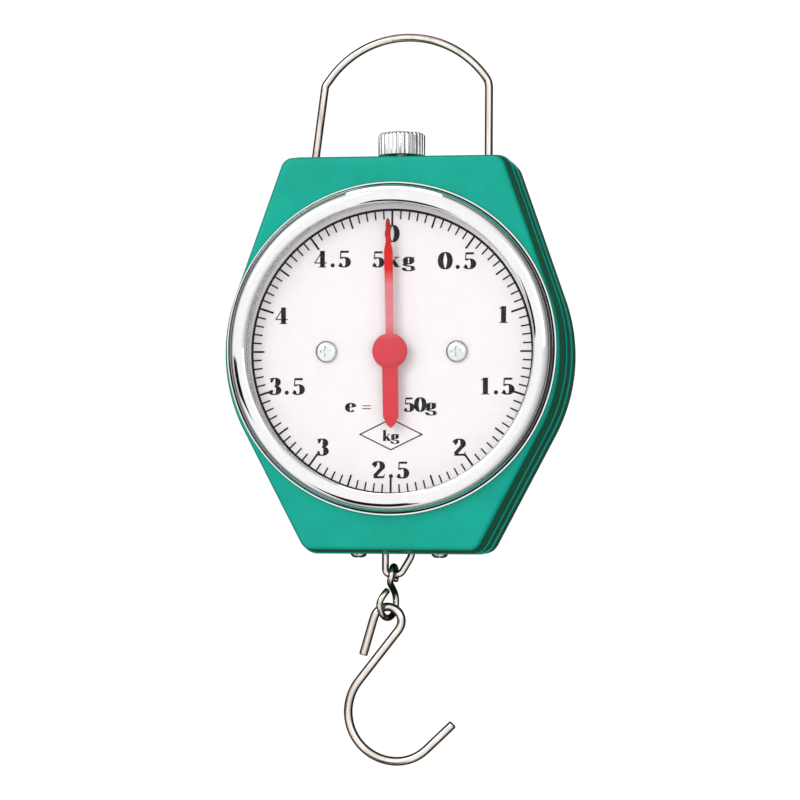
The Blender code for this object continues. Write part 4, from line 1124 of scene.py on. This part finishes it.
# The floor lies below the hook. Light levels go from the front (0) to the back (1), and from left to right.
FLOOR_DROP, FLOOR_RADIUS, SWEEP_RADIUS, WALL_HEIGHT = 260.0, 2600.0, 900.0, 4200.0
FLOOR_GREY, FLOOR_GLOW, FLAG_GREY = 0.1, 0.97, 0.01
FRONT_STOPS = [(0.0, 1.0), (0.3, 0.95), (0.45, 0.35), (0.58, 0.08), (0.9, 0.08), (1.0, 0.12)]
LEFT_STOPS = [(0.0, 1.0), (0.6, 1.0), (0.85, 0.65), (1.0, 0.45)]


def make_camera():
    camera = bpy.data.objects.new("camera", bpy.data.cameras.new("camera"))
    bpy.context.scene.collection.objects.link(camera)
    camera.data.lens = CAMERA_LENS
    camera.data.sensor_width = 36.0
    camera.data.clip_start = 0.05
    camera.data.clip_end = 50.0
    back = Matrix.Rotation(CAMERA_AZIMUTH, 3, "Z") @ Matrix.Rotation(-CAMERA_ELEVATION, 3, "X")
    back = back @ Vector((0.0, -1.0, 0.0))
    camera.location = DIAL_CENTRE + CAMERA_AIM + back * CAMERA_DISTANCE
    facing = (-back).to_track_quat("-Z", "Y").to_matrix()
    camera.rotation_euler = (facing @ Matrix.Rotation(CAMERA_ROLL, 3, "Z")).to_euler()
    bpy.context.scene.camera = camera


def matt(name, grey, glow=0.0):
    """A matt studio material of one grey, which may also glow white."""
    material, _, shader = new_material(name)
    shader.inputs["Base Color"].default_value = (grey, grey, grey, 1.0)
    shader.inputs["Roughness"].default_value = 1.0
    shader.inputs["Specular IOR Level"].default_value = 0.0
    shader.inputs["Emission Color"].default_value = (1.0, 1.0, 1.0, 1.0)
    shader.inputs["Emission Strength"].default_value = glow
    return material


def make_floor():
    """A round pale floor that sweeps up into a wall, so that every view has the same plain background."""
    floor_z = cad_low.z / MM - FLOOR_DROP
    profile = [(0.0, 1.0), (0.0, FLOOR_RADIUS)]
    for turn in quarter_turn(24):
        rise = SWEEP_RADIUS - SWEEP_RADIUS * math.cos(turn)
        profile.append((rise, FLOOR_RADIUS + SWEEP_RADIUS * math.sin(turn)))
    profile.append((WALL_HEIGHT, FLOOR_RADIUS + SWEEP_RADIUS))
    rings = turned_rings(Vector((0.0, 0.0, floor_z * MM)), (0, 0, 1), profile, 96)
    builder = bmesh.new()
    add_loft(builder, rings, closed=False, open_end=True)
    floor = new_piece("studio_floor", builder, 60.0)
    floor.visible_diffuse = False
    floor.visible_glossy = False
    floor.visible_shadow = False
    floor.data.materials.append(matt("studio_white", FLOOR_GREY, FLOOR_GLOW))


def add_ramp_light(tree, axis_value, stops):
    """A grey level that depends on how far a direction points along an axis, from -1 to 1."""
    share = tree.nodes.new("ShaderNodeMath")
    share.operation = "MULTIPLY_ADD"
    share.inputs[1].default_value = 0.5
    share.inputs[2].default_value = 0.5
    tree.links.new(axis_value, share.inputs[0])
    return ramp(tree, share.outputs["Value"], [(position, (level,) * 3) for position, level in stops])


def make_world():
    """Soft light from the front, dimmer on the right, as in a light tent that is open behind."""
    world = bpy.data.worlds.new("studio")
    bpy.context.scene.world = world
    world.use_nodes = True
    tree = world.node_tree
    background = tree.nodes["Background"]
    split = tree.nodes.new("ShaderNodeSeparateXYZ")
    tree.links.new(tree.nodes.new("ShaderNodeTexCoord").outputs["Generated"], split.inputs["Vector"])
    front = add_ramp_light(tree, split.outputs["Y"], FRONT_STOPS)
    left = add_ramp_light(tree, split.outputs["X"], LEFT_STOPS)
    tree.links.new(mixed(tree, front, left, 1.0, "MULTIPLY"), background.inputs["Color"])
    background.inputs["Strength"].default_value = 1.0


def add_softbox(name, place, size, power, mirrored=True):
    """A square area light that faces the dial's centre, seen in the chrome or not."""
    data = bpy.data.lights.new(name, "AREA")
    data.shape = "SQUARE"
    data.size = size
    data.energy = power
    lamp = bpy.data.objects.new(name, data)
    lamp.visible_glossy = mirrored
    bpy.context.scene.collection.objects.link(lamp)
    lamp.location = DIAL_CENTRE + Vector(place)
    lamp.rotation_euler = (-Vector(place)).to_track_quat("-Z", "Y").to_euler()


def add_flag(name, place, width, height):
    """A black card that is seen only in the chrome, where it draws the dark streaks."""
    flag = new_piece(name, card(width, height))
    flag.location = DIAL_CENTRE + Vector(place)
    flag.rotation_euler = (-Vector(place)).to_track_quat("Z", "Y").to_euler()
    flag.visible_camera = False
    flag.visible_diffuse = False
    flag.visible_shadow = False
    flag.visible_transmission = False
    flag.data.materials.append(matt(name, FLAG_GREY))


def card(width, height):
    builder = bmesh.new()
    corners = ((-1, -1), (1, -1), (1, 1), (-1, 1))
    builder.faces.new([builder.verts.new((a * width / 2.0, b * height / 2.0, 0.0)) for a, b in corners])
    return builder


def make_lights():
    add_softbox("key_left", (-0.9, -1.3, 0.9), 0.8, 8.0)
    add_softbox("fill_front", (0.9, -1.4, 0.5), 0.8, 1.8)
    add_softbox("top", (-0.2, 0.0, 1.5), 0.9, 4.0)
    add_softbox("behind_left", (-0.9, 1.2, 0.7), 0.8, 12.0, mirrored=False)
    add_softbox("behind_right", (0.7, 1.6, 0.5), 0.7, 6.0, mirrored=False)
    add_flag("flag_low", (-0.26, -0.6, -0.74), 0.5, 0.5)
    add_flag("flag_left", (-0.77, -0.62, -0.08), 0.55, 0.2)


def set_colour():
    view = bpy.context.scene.view_settings
    view.view_transform = "Standard"
    view.look = "None"


def dress_cad_nodes(finishes):
    for kind, names in NODE_FINISHES.items():
        for name in names:
            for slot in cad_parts[name].material_slots:
                slot.material = finishes[kind]


def main():
    finishes = make_finishes()
    housing = (make_front_shell, make_rear_shell, make_bezel, make_shadow_ring, make_lens)
    dial = (make_dial, make_scale_print, make_numbers, make_legend, make_pointer)
    metal = (make_screws, make_knob, make_bail, make_load_loop, make_link, make_hook)
    for make in housing + dial + metal:
        make(finishes)
    for name, x in (("spring_left", -14.5), ("spring_right", 14.5)):
        make_spring(name, x, finishes)
    dress_cad_nodes(finishes)
    make_camera()
    make_floor()
    make_world()
    make_lights()
    set_colour()


main()
